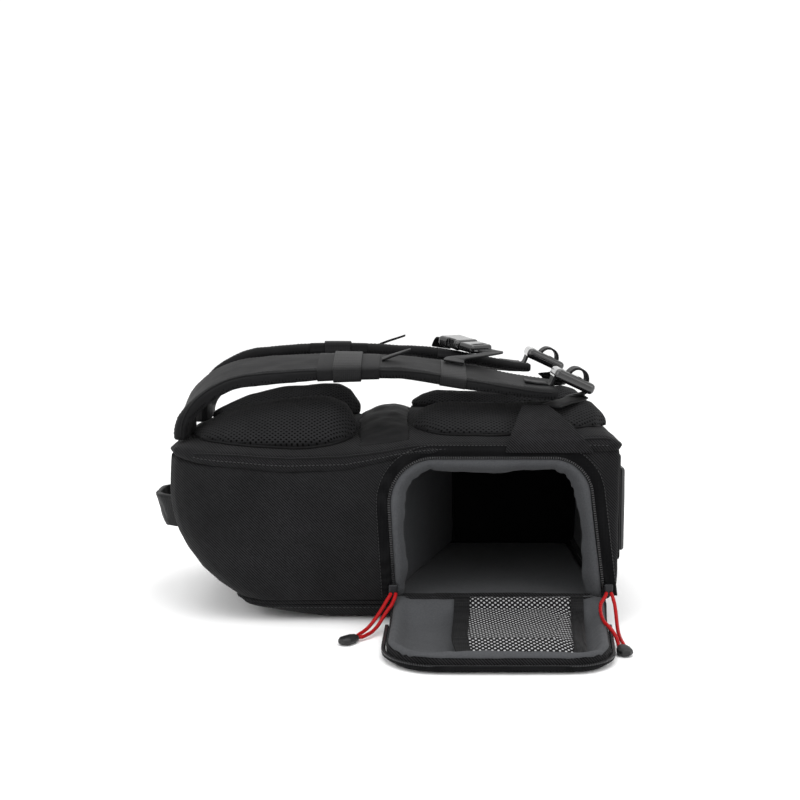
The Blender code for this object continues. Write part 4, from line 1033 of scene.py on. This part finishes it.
@dataclass
class BackPads:
    """The mesh pads on the back and the smooth sleeve between them."""

    finishes: Finishes
    binding: float = 1.3 * MM
    binding_lift: float = 0.8 * MM
    outside: float = 140 * MM
    inside: tuple[float, float] = (50 * MM, 30 * MM)
    rounds: int = 96
    fade: float = 34 * MM
    end_fade: float = 2.2
    rim: float = 0.1
    height: float = 0.45

    def build(self, back: bpy.types.Object) -> None:
        """Make the pads, their bound edges and the sleeve.

        Args:
            back: The back's piece, which they lie on.
        """
        surface = Surface(back)
        for _, tag in SIDES:
            for place in ("upper", "lower"):
                node = f"back_pad_{place}_{tag}"
                pad = SoftSolid((node,), self.finishes.air_mesh, grain=2.0 * MM, smooth=4,
                                wrinkle=0.7 * MM, span=24 * MM, fill=0.8, press=2.0 * MM).build()
                self.bind(pad, surface, f"{place}_{tag}")
        sleeve = SoftSolid(("centre_sleeve",), self.finishes.nylon, grain=1.6 * MM, smooth=3,
                           wrinkle=2.6 * MM, span=22 * MM, fill=0.5).build()
        self.settle(sleeve, surface)
        log.info("pads: four, and the sleeve")

    def bind(self, pad: bpy.types.Object, surface: Surface, tag: str) -> None:
        """Lay a bound edge round a pad where it meets the back.

        Args:
            pad: The pad's piece.
            surface: The back's surface.
            tag: The pad's name.
        """
        low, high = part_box("back_pad_" + tag)
        middle = (low + high) / 2
        shell = Surface(pad)
        line = []
        for step in range(self.rounds + 1):
            turn = 2 * math.pi * step / self.rounds
            away = Vector((math.cos(turn), math.sin(turn), 0))
            far = middle + away * self.outside
            under = middle + Vector((away.x * self.inside[0], away.y * self.inside[1], 0))
            ground, _ = surface.nearest(under)
            spot = None
            # The pad's foot is the lowest place that a level ray meets
            for rise in (0.5, 1.5, 2.5, 4.0):
                spot = shell.hit(Vector((far.x, far.y, ground.z + rise * MM)), -away)
                if spot is not None:
                    break
            if spot is not None:
                place, normal = surface.nearest(spot)
                line.append(place + normal * self.binding_lift)
        if len(line) > 8:
            tube("pad_binding_" + tag, rounded(line + [line[0]], 2), self.binding,
                 self.finishes.nylon)

    def settle(self, sleeve: bpy.types.Object, surface: Surface) -> None:
        """Bring the sleeve's rims down onto the back.

        Args:
            sleeve: The sleeve's piece.
            surface: The back's surface.
        """
        low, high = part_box("centre_sleeve")
        for vertex in sleeve.data.vertices:
            spot = vertex.co
            ends = min(spot.x - low.x, high.x - spot.x)
            reach = min(high.y - abs(spot.y), self.end_fade * ends)
            share = min(max(reach / self.fade, 0.0), 1.0)
            ground = surface.hit(Vector((spot.x, spot.y, ABOVE)), DOWN)
            if ground is not None and spot.z > ground.z:
                soft = 1 - (1 - share) ** 2
                rise = self.rim + self.height * soft
                vertex.co.z = ground.z + (spot.z - ground.z) * rise
        sleeve.data.update()


@dataclass
class ShoulderStraps:
    """Both shoulder straps with their keepers, webbing, locks and wings."""

    finishes: Finishes
    edge: float = 5 * MM
    width: float = 62 * MM
    seam: float = 0.42
    piping: float = 0.9 * MM
    thickest: float = 24 * MM
    turn_centre: tuple[float, float] = (-0.105, 0.150)
    turn_steps: int = 30
    run_x: float = -0.100
    run: float = 0.236
    run_steps: int = 60
    lead: float = 26 * MM
    lead_steps: int = 7
    lead_step: float = 3.6 * MM
    webbing: float = 24 * MM
    webbing_wall: float = 1.7 * MM

    def build(self) -> None:
        """Make each side's pieces, then its stitches."""
        for side, tag in SIDES:
            strap = SoftSolid(("strap_" + tag,), self.finishes.nylon, grain=1.9 * MM, smooth=3,
                              grow=0.4 * MM, wrinkle=0.6 * MM, span=26 * MM, fill=0.8).build()
            self.dress_edges(strap)
            ThinSolid("keeper_panel_" + tag, self.finishes.nylon).build()
            for node in ("keeper_loop_", "sternum_band_", "pull_tab_"):
                ThinSolid(node + tag, self.finishes.webbing).build()
            SoftSolid(("ladder_lock_" + tag,), self.finishes.acetal, grain=0.7 * MM, smooth=6,
                      grow=2.4 * MM, wrinkle=0.0, fill=None).build()
            self.lock_webbing(side, tag, Surface(strap))
            ThinSolid("lower_webbing_" + tag, self.finishes.webbing).build()
            SoftSolid(("strap_wing_" + tag,), self.finishes.twill, grain=1.0 * MM, smooth=3,
                      wrinkle=0.5 * MM, span=20 * MM).build()
            self.sew(side, tag, strap)
            log.info("strap: %s", tag)

    def lock_webbing(self, side: int, tag: str, surface: Surface) -> None:
        """Thread the webbing from the strap's end through its lock, and fold its tail over.

        Args:
            side: NEAR or FAR.
            tag: The side's name.
            surface: The strap's surface.
        """
        low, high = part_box("ladder_lock_" + tag)
        middle = (low + high) / 2
        y = side * STRAP_Y
        lead = []
        # The webbing lies on the strap up to the lock
        for step in range(self.lead_steps):
            x = low.x - self.lead + step * self.lead_step
            place = surface.hit(Vector((x, y, OUTSIDE)), DOWN)
            if place is not None:
                lead.append(place + Vector((0, 0, 1.2 * MM)))
        lead += [Vector((low.x + 1 * MM, y, high.z + 1 * MM)),
                 Vector((low.x + 7 * MM, y, high.z + 0.5 * MM)),
                 Vector((middle.x - 3 * MM, y, middle.z + 4 * MM))]
        self.ribbon("strap_end_webbing_" + tag, lead)
        loop = [middle + Vector(offset) * MM for offset in (
            (-5, 0, 4), (-3, 0, 8), (2, 0, 11), (8, 0, 10), (12, 0, 6), (13, 0, 1), (12, 0, -3))]
        tail = self.ribbon("folded_tail_" + tag, [Vector((spot.x, y, spot.z)) for spot in loop])
        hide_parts("webbing_tail_" + tag)

    def ribbon(self, name: str, line: list[Vector]) -> bpy.types.Object:
        """Lay a length of webbing along a line.

        Args:
            name: Name of the piece.
            line: Points along the middle of the webbing.

        Returns:
            The webbing.
        """
        rows = [[spot + Vector((0, self.webbing * (place / 6 - 0.5), 0)) for place in range(7)]
                for spot in rounded(line, 5)]
        return sheet_mesh(name, rows, self.webbing_wall, self.finishes.webbing)

    def dress_edges(self, strap: bpy.types.Object) -> None:
        """Give a strap's underside and the lower part of its edges the knitted mesh.

        Args:
            strap: The strap's piece.
        """
        strap.data.materials.append(self.finishes.edge_mesh)
        for face in strap.data.polygons:
            if face.normal.z < -0.25:
                face.material_index = 1

    def over(self, surface: Surface, y: float) -> list[Vector]:
        """Trace a strap's outer face from its sewn end to its lock end.

        Args:
            surface: The strap's surface.
            y: Position across the bag.

        Returns:
            The line that lies on the strap.
        """
        line = []
        x, z = self.turn_centre
        for step in range(self.turn_steps):
            angle = math.radians(182 - 92 * step / (self.turn_steps - 1))
            away = Vector((math.cos(angle), 0, math.sin(angle)))
            place = surface.hit(Vector((x, y, z)) + away * OUTSIDE, -away)
            if place is not None:
                line.append(place)
        starts = [Vector((self.run_x + self.run * step / self.run_steps, y, OUTSIDE))
                  for step in range(self.run_steps)]
        return line + surface.trace(starts, DOWN)

    def sew(self, side: int, tag: str, strap: bpy.types.Object) -> None:
        """Lay the piping and the stitches along the edges of a strap.

        Args:
            side: NEAR or FAR.
            tag: The side's name.
            strap: The strap's piece.
        """
        surface = Surface(strap)
        for row, across in enumerate((-1, 1)):
            y = side * STRAP_Y + across * (self.width / 2 - self.edge)
            line = self.over(surface, y)
            Stitching(f"strap_stitches_{tag}_{row}", line, surface, self.finishes.thread).build()
        for row, out in enumerate((NEAR, FAR)):
            seam = self.edge_line(surface, side, out)
            if len(seam) > 4:
                tube(f"strap_piping_{tag}_{row}", seam, self.piping, self.finishes.nylon)

    def edge_line(self, surface: Surface, side: int, out: int) -> list[Vector]:
        """Trace the seam along one edge of a strap.

        Args:
            surface: The strap's surface.
            side: NEAR or FAR, for the strap.
            out: NEAR or FAR, for its edge.

        Returns:
            The seam's points.
        """
        y = side * STRAP_Y
        line = []
        for spot in self.over(surface, y):
            _, normal = surface.nearest(spot)
            under = surface.hit(spot - normal * 0.5 * MM, -normal)
            if under is None or (under - spot).length > self.thickest:
                continue
            level = under + (spot - under) * self.seam
            place = surface.hit(level + Vector((0, out * 0.06, 0)), Vector((0, -out, 0)))
            # What is nearer to the middle than this is no edge
            if place is not None and abs(place.y - y) > 20 * MM:
                line.append(place)
        return line


@dataclass
class SternumStrap:
    """The slack strap across the chest with its side-release buckle."""

    finishes: Finishes

    def build(self) -> None:
        """Make the buckle and both lengths of webbing."""
        for node in ("buckle_socket", "buckle_plug"):
            SoftSolid((node,), self.finishes.acetal, grain=0.6 * MM, smooth=4, grow=0.4 * MM,
                      wrinkle=0.0, fill=None).build()
        for _, tag in SIDES:
            ThinSolid("sternum_webbing_" + tag, self.finishes.webbing).build()
        log.info("sternum strap")


@dataclass
class SideOpening:
    """The zipper and the soft lip round the side opening."""

    finishes: Finishes
    shape: OpeningShape = field(default_factory=OpeningShape)
    tape: float = 9 * MM
    tape_wall: float = 0.9 * MM
    side_y: float = -0.1200
    lip_inset: float = 3.4 * MM
    lip_wall: float = 1.4 * MM
    lip_back: float = 7.5 * MM
    lip_top: float = 0.095
    lip_fade: float = 0.03
    lip_base: float = 0.1
    panel: Surface | None = None

    def build(self) -> None:
        """Make the tape, the teeth and the lip."""
        self.panel = Surface(frame["nodes"]["side_panel_near"])
        self.band()
        self.teeth()
        self.lip()
        log.info("opening: tape, teeth and lip")

    def line(self, inset: float, out: float) -> list[Vector]:
        """Trace the opening's edge on the near side panel.

        Args:
            inset: How far into the opening the line runs.
            out: How far off the panel it stands.

        Returns:
            The line's points.
        """
        probe = self.shape.outline(inset=min(inset, -1.5 * MM))
        moved = self.shape.outline(inset=inset)
        line = []
        last = self.side_y
        for (x, z), (px, pz) in zip(moved, probe):
            place = self.panel.hit(Vector((px, -OUTSIDE, pz)), Vector((0, 1, 0)))
            last = last if place is None else place.y
            line.append(Vector((x, last - out, z)))
        return line

    def band(self) -> None:
        """Lay the zipper's tape round the opening, with a sewn edge."""
        wide = [self.line(inset, out) for inset, out in (
            (3.9 * MM, 0.6 * MM), (0.6 * MM, 1.3 * MM), (-0.45 * self.tape, 1.7 * MM),
            (-self.tape + 0.8 * MM, 1.6 * MM), (-self.tape, 0.4 * MM))]
        rows = [[row[index] for row in wide] for index in range(len(wide[0]))]
        piece = sheet_mesh("opening_zip_tape", rows, self.tape_wall, self.finishes.tape)
        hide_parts("opening_zipper")
        Stitching("opening_stitches", rounded(wide[3], 2), Surface(piece),
                  self.finishes.thread, pitch=3.0 * MM).build()

    def teeth(self) -> None:
        """Set a tooth at each pitch along the zipper."""
        line = rounded(self.line(2.0 * MM, 1.9 * MM), 2)
        build_teeth("opening_zip_teeth", line, Vector((0, -1, 0)), self.finishes.teeth)

    def lip(self) -> None:
        """Hang the grey lining's soft lip inside the zipper."""
        outer = self.line(self.lip_inset, -1.0 * MM)
        inward = self.shape.outline(inset=10 * MM)
        rows = []
        for index, (spot, (ix, iz)) in enumerate(zip(outer, inward)):
            share = index / (len(outer) - 1)
            sway = noise.noise(Vector((share * 11.0, 3.1, 0.7)))
            fine = noise.noise(Vector((share * 38.0, 8.4, 0.2)))
            into = Vector((ix - spot.x, 0, iz - spot.z))
            if into.length > 1e-6:
                into.normalize()
            top = min(max((spot.z - self.lip_top) / self.lip_fade, 0.0), 1.0)
            right = 1.0 if spot.x > self.lip_base else 0.0
            # It hangs 7.5 mm deep, more along the top and most at the base end
            width = (7.5 + 4.5 * sway + 1.8 * fine + 2.5 * top + 4.0 * right * (1 - top)) * MM
            bulge = (2.0 + 1.8 * sway) * MM
            row = []
            for step in range(9):
                reach = step / 8
                push = math.sin(math.pi * min(reach * 1.15, 1.0)) * bulge
                back = self.lip_back * reach ** 1.7
                row.append(spot + into * width * reach + Vector((0, back - push, 0)))
            rows.append(row)
        piece = sheet_mesh("opening_soft_lip", rows, self.lip_wall, self.finishes.lining)
        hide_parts("opening_lip")


def build_teeth(name: str, line: list[Vector], out: Vector,
                material: bpy.types.Material) -> bpy.types.Object:
    """Set small blunt teeth along a zipper.

    Args:
        name: Name of the piece.
        line: The zipper's line.
        out: Off the tape.
        material: Its finish.

    Returns:
        All the teeth as one piece.
    """
    points: list[Vector] = []
    faces: list[tuple[int, ...]] = []
    shape = ((-1, -1, -1), (1, -1, -1), (1, 1, -1), (-1, 1, -1),
             (-0.6, -0.8, 1), (0.6, -0.8, 1), (0.6, 0.8, 1), (-0.6, 0.8, 1))
    walls = ((3, 2, 1, 0), (4, 5, 6, 7), (0, 1, 5, 4), (1, 2, 6, 5), (2, 3, 7, 6), (3, 0, 4, 7))
    for spot, along in even_steps(line, TOOTH_PITCH):
        across = along.cross(out).normalized()
        up = across.cross(along).normalized()
        first = len(points)
        for a, b, c in shape:
            points.append(spot + along * a * TOOTH_PITCH * 0.32 + across * b * TOOTH_LENGTH / 2
                          + up * c * 0.55 * MM)
        faces += [tuple(first + index for index in wall) for wall in walls]
    mesh = bpy.data.meshes.new(name)
    mesh.from_pydata(points, [], faces)
    return link(name, mesh, material)


@dataclass
class SideDoor:
    """The open door with its lining, net pocket and zipper."""

    finishes: Finishes
    shape: OpeningShape = field(default_factory=OpeningShape)
    lining_wall: float = 0.8 * MM
    lining_steps: int = 60
    lining_start: float = 0.02
    lining_reach: float = 0.965
    lining_side: float = 0.012
    width: float = 177 * MM
    lip_width: float = 13 * MM
    tooth_inset: float = 2.1 * MM
    first_tooth: float = 0.26
    sill_y: float = -114 * MM
    net_reach: float = 0.868
    net_left: float = 0.352
    net_right: float = 0.842
    net_wall: float = 0.5 * MM
    net_lift: float = 0.3 * MM
    band_wall: float = 1.2 * MM
    band_lift: float = 1.4 * MM
    band_rows: int = 49
    band_points: int = 25
    ground: Surface | None = None

    def build(self) -> None:
        """Make the tray, its lining, the pocket and the zipper teeth."""
        tray = SoftSolid(("door_panel",), self.finishes.twill, grain=1.5 * MM, smooth=3,
                         wrinkle=0.4 * MM, fill=0.6).build()
        lining = self.lining(Surface(tray))
        self.ground = Surface(lining)
        ThinSolid("door_zipper", self.finishes.tape, levels=1).build()
        self.pocket([tray.name, lining.name])
        self.teeth()
        log.info("door: tray, lining, pocket and teeth")

    def plan(self, reach: float, across: float) -> Vector:
        """Find a plan position, by its shares from the hinge out and from the head side across."""
        head, base = self.shape.span(max(reach, 0.0))
        return Vector((head + (base - head) * across, HINGE_Y - self.shape.door_length * reach, 0))

    def level(self, surface: Surface, spot: Vector) -> float:
        """Find the tray's height at a plan position, averaged over a small patch.

        Args:
            surface: The tray's surface.
            spot: Plan position.

        Returns:
            The height.
        """
        total = 0.0
        count = 0
        patch = (-4 * MM, 0.0, 4 * MM)
        for dx in patch:
            for dy in patch:
                place = surface.hit(Vector((spot.x + dx, spot.y + dy, HIGH)), DOWN)
                if place is not None:
                    total += place.z
                    count += 1
        return total / count if count else 0.0

    def lining(self, surface: Surface) -> bpy.types.Object:
        """Lay the grey lining over the tray's inside, with a soft raised lip round it.

        Args:
            surface: The tray's surface.

        Returns:
            The lining.
        """
        rows = []
        count = self.lining_steps
        for step in range(count + 1):
            reach = self.lining_start + self.lining_reach * step / count
            row = []
            for turn in range(count + 1):
                across = self.lining_side + (1 - 2 * self.lining_side) * turn / count
                spot = self.plan(reach, across)
                place = surface.hit(spot - DOWN * HIGH, DOWN)
                mean = self.level(surface, spot)
                top = mean if place is None else max(place.z, mean)
                if step == 0:
                    # The lining runs on over the hinge, up to the compartment's sill
                    spot.y = self.sill_y
                    top = self.shape.sill - 1.5 * MM
                sides = min(turn, count - turn) * 0.98 * self.width / count
                free = (count - step) * self.lining_reach * self.shape.door_length / count
                edge = min(sides, free)
                lip = math.sin(math.pi * min(edge / self.lip_width, 1.0)) ** 0.8
                sway = noise.noise(Vector((spot.x, spot.y, 0.0)) / (26 * MM))
                fold = noise.noise(Vector((spot.x, spot.y, 1.0)) / (9 * MM))
                fade = min(reach / 0.15, 1.0)
                rise = (0.7 + lip * fade * (2.6 + 1.8 * sway + 0.8 * fold) + 0.25 * fold) * MM
                row.append(Vector((spot.x, spot.y, top + rise)))
            rows.append(row)
        piece = sheet_mesh("door_lining", rows, self.lining_wall, self.finishes.lining)
        return piece

    def pocket(self, under: list[str]) -> None:
        """Stretch the net over the lining between its elastic and its binding.

        Args:
            under: Names of the pieces that the net lies on; not used.
        """
        source = Surface(frame["nodes"]["mesh_pocket"])
        net = self.strip("pocket_net", self.net_left, self.net_right, source, self.net_wall,
                         self.finishes.net, self.net_lift)
        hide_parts("mesh_pocket")
        for edge, left, right in (("elastic", 0.292, 0.364), ("binding", 0.832, 0.892)):
            solid = Surface(frame["nodes"]["pocket_" + edge])
            band = self.strip("pocket_edge_" + edge, left, right, solid, self.band_wall,
                              self.finishes.webbing, self.band_lift)
            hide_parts("pocket_" + edge)
        # Both ends of the opening at half its height
        head, base = self.shape.span(0.5)

    def strip(self, name: str, left: float, right: float, source: Surface, wall: float,
              material: bpy.types.Material, lift: float) -> bpy.types.Object:
        """Make one band of the pocket.

        Args:
            name: Name of the piece.
            left: Where it starts across the door.
            right: Where it ends across the door.
            source: The solid that it replaces.
            wall: Its thickness.
            material: Its finish.
            lift: How far it stands off the solid.

        Returns:
            The band.
        """
        rows = []
        for step in range(self.band_rows):
            reach = self.lining_side + self.net_reach * step / (self.band_rows - 1)
            row = []
            for turn in range(self.band_points):
                across = left + (right - left) * turn / (self.band_points - 1)
                spot = self.plan(reach, across)
                place, _ = source.nearest(spot + Vector((0, 0, 0.014)))
                floor = self.ground.hit(spot - DOWN * HIGH, DOWN)
                rest = place.z if floor is None else max(place.z, floor.z + 1.3 * MM)
                fold = 0.3 * MM * noise.noise(Vector((spot.x, spot.y, 2.0)) / (15 * MM))
                row.append(Vector((spot.x, spot.y, rest + lift + fold)))
            rows.append(row)
        piece = sheet_mesh(name, rows, wall, material)
        lay_cloth(piece, flat=True)
        return piece

    def teeth(self) -> None:
        """Set the zipper's teeth along the door's outer edge."""
        strip = Surface(frame["nodes"]["door_zipper"])
        shares = [share for share in self.shape.shares(14) if share > self.first_tooth]
        line = [(self.shape.span(share)[0] - self.tooth_inset, share) for share in shares]
        ends = self.shape.span(1.0)
        line += [(ends[0] + (ends[1] - ends[0]) * k / 10, 1.0) for k in range(1, 10)]
        line += [(self.shape.span(share)[1] + self.tooth_inset, share)
                 for share in reversed(shares)]
        places = []
        for x, share in line:
            y = HINGE_Y - self.shape.door_length * share
            place, _ = strip.nearest(Vector((x, y, 0.008)))
            places.append(place)
        build_teeth("door_zip_teeth", rounded(places, 2), -DOWN, self.finishes.teeth)


@dataclass
class Compartment:
    """The lined main compartment behind the opening."""

    finishes: Finishes
    binding: float = 2.2 * MM

    def build(self) -> None:
        """Make the divider, the lined walls and the bound corners."""
        # The divider takes the lining with painted shade
        SoftSolid(("divider",), self.finishes.painted_shade_divider_lining, grain=2.2 * MM, smooth=4,
                  grow=0.6 * MM, wrinkle=0.8 * MM, span=34 * MM, fill=0.7).build()
        # The far wall and the ceiling take the lining with painted shade; the floor and the base
        # wall keep the plain grey
        for node, material in (("liner_floor", self.finishes.lining),
                               ("liner_base_wall", self.finishes.lining),
                               ("liner_far_wall", self.finishes.painted_shade_lining),
                               ("liner_ceiling", self.finishes.painted_shade_lining)):
            ThinSolid(node, material, levels=3, crease=0.9, wrinkle=0.12 * MM).build()
        self.bind()
        log.info("compartment")

    def bind(self) -> None:
        """Lay the sewn binding along the corners where the walls meet."""
        far_low, far_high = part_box("liner_far_wall")
        floor_low, floor_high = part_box("liner_floor")
        base_low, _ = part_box("liner_base_wall")
        _, divider_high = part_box("divider")
        top_low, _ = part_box("liner_ceiling")
        back = far_low.y + 0.5 * MM
        head = divider_high.x - 1 * MM
        base = base_low.x + 1 * MM
        floor = floor_high.z - 0.5 * MM
        top = min(top_low.z, far_high.z) + 1 * MM
        front = max(floor_low.y, base_low.y) + 2 * MM
        # The bindings along the far wall carry the same painted shade
        runs = (
            ("floor_far", (head, back, floor), (base, back, floor), self.finishes.painted_shade_lining),
            ("far_base", (base, back, floor), (base, back, top), self.finishes.painted_shade_lining),
            ("far_head", (head, back, floor), (head, back, top), self.finishes.painted_shade_lining),
            ("far_top", (head, back, top), (base, back, top), self.finishes.painted_shade_lining),
            ("floor_base", (base, front, floor), (base, back, floor), self.finishes.lining),
        )
        for name, start, end, material in runs:
            line = [Vector(start).lerp(Vector(end), step / 24) for step in range(25)]
            tube("liner_binding_" + name, line, self.binding, material)


@dataclass
class ZipperPulls:
    """Both sliders with their red cord loops and moulded grips."""

    finishes: Finishes
    diameter: float = 3 * MM

    def build(self) -> None:
        """Make each pull: its cord, its grip and its slider."""
        for tag, route in (("head", PULL_ROUTE_HEAD), ("base", PULL_ROUTE_BASE)):
            line = rounded([Vector(spot) for spot in route], 3)
            cord = tube("red_cord_" + tag, line, self.diameter / 2, self.finishes.red_cord)
            grip = SoftSolid(("pull_grip_" + tag,), self.finishes.rubber, grain=0.6 * MM, smooth=3,
                             wrinkle=0.0, fill=None).build()
            SoftSolid(("slider_" + tag,), self.finishes.slider, grain=0.4 * MM, smooth=2,
                      wrinkle=0.0, fill=None).build()
            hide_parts("pull_cord_" + tag)


@dataclass
class Studio:
    """A pale floor, soft light and the photograph's camera."""

    finishes: Finishes
    lens: float = 61.1
    sensor: float = 36.0
    eye: tuple[float, float, float] = (0.0045, -1.22, 0.305)
    pitch: float = 6.136

    def build(self) -> None:
        """Make the camera, the floor and the lights."""
        self.camera()
        self.floor()
        self.lights()
        log.info("studio")

    def camera(self) -> None:
        """Place the camera at the photograph's viewing angle."""
        data = bpy.data.cameras.new("photo_camera")
        data.lens = self.lens
        data.sensor_width = self.sensor
        eye = bpy.data.objects.new("photo_camera", data)
        bpy.context.scene.collection.objects.link(eye)
        eye.location = self.eye
        eye.rotation_euler = (math.radians(90 - self.pitch), 0, 0)
        bpy.context.scene.camera = eye

    def floor(self) -> None:
        """Lay the floor."""
        mesh = bpy.data.meshes.new("studio_floor")
        work = bmesh.new()
        bmesh.ops.create_grid(work, x_segments=2, y_segments=2, size=6.0)
        work.to_mesh(mesh)
        work.free()
        ground = bpy.data.objects.new("studio_floor", mesh)
        bpy.context.scene.collection.objects.link(ground)
        ground.location.z = -0.2 * MM
        mesh.materials.append(self.finishes.floor)

    def lights(self) -> None:
        """Hang soft boxes and fill the room with white light."""
        boxes = (
            # name, place, width, watts
            ("overhead", (0.0, -0.3, 1.7), 1.6, 15.0),
            ("left_front", (-1.3, -1.4, 1.1), 1.1, 8.0),
            ("right_front", (1.3, -1.3, 0.9), 1.1, 6.0),
        )
        for name, place, width, watts in boxes:
            data = bpy.data.lights.new(name, "AREA")
            data.size = width
            data.energy = watts
            lamp = bpy.data.objects.new(name, data)
            bpy.context.scene.collection.objects.link(lamp)
            lamp.location = place
            aim = Vector((0.0, -0.05, 0.08)) - Vector(place)
            lamp.rotation_euler = aim.to_track_quat("-Z", "Y").to_euler()
        world = bpy.data.worlds.new("studio_world")
        world.use_nodes = True
        backdrop = world.node_tree.nodes["Background"]
        backdrop.inputs["Color"].default_value = (1.0, 1.0, 1.0, 1.0)
        backdrop.inputs["Strength"].default_value = 1.1
        bpy.context.scene.world = world
        bpy.context.scene.view_settings.view_transform = "Standard"


def main() -> None:
    """Build every sub-assembly in order."""
    logging.basicConfig(level=logging.INFO, format="%(name)s: %(message)s")
    finishes = Finishes()
    Studio(finishes).build()
    ZipperPulls(finishes).build()
    body = BagBody(finishes)
    body.build()
    BackPads(finishes).build(body.pieces["back"])
    ShoulderStraps(finishes).build()
    SternumStrap(finishes).build()
    Compartment(finishes).build()
    SideOpening(finishes).build()
    SideDoor(finishes).build()


if __name__ == "__main__":
    main()
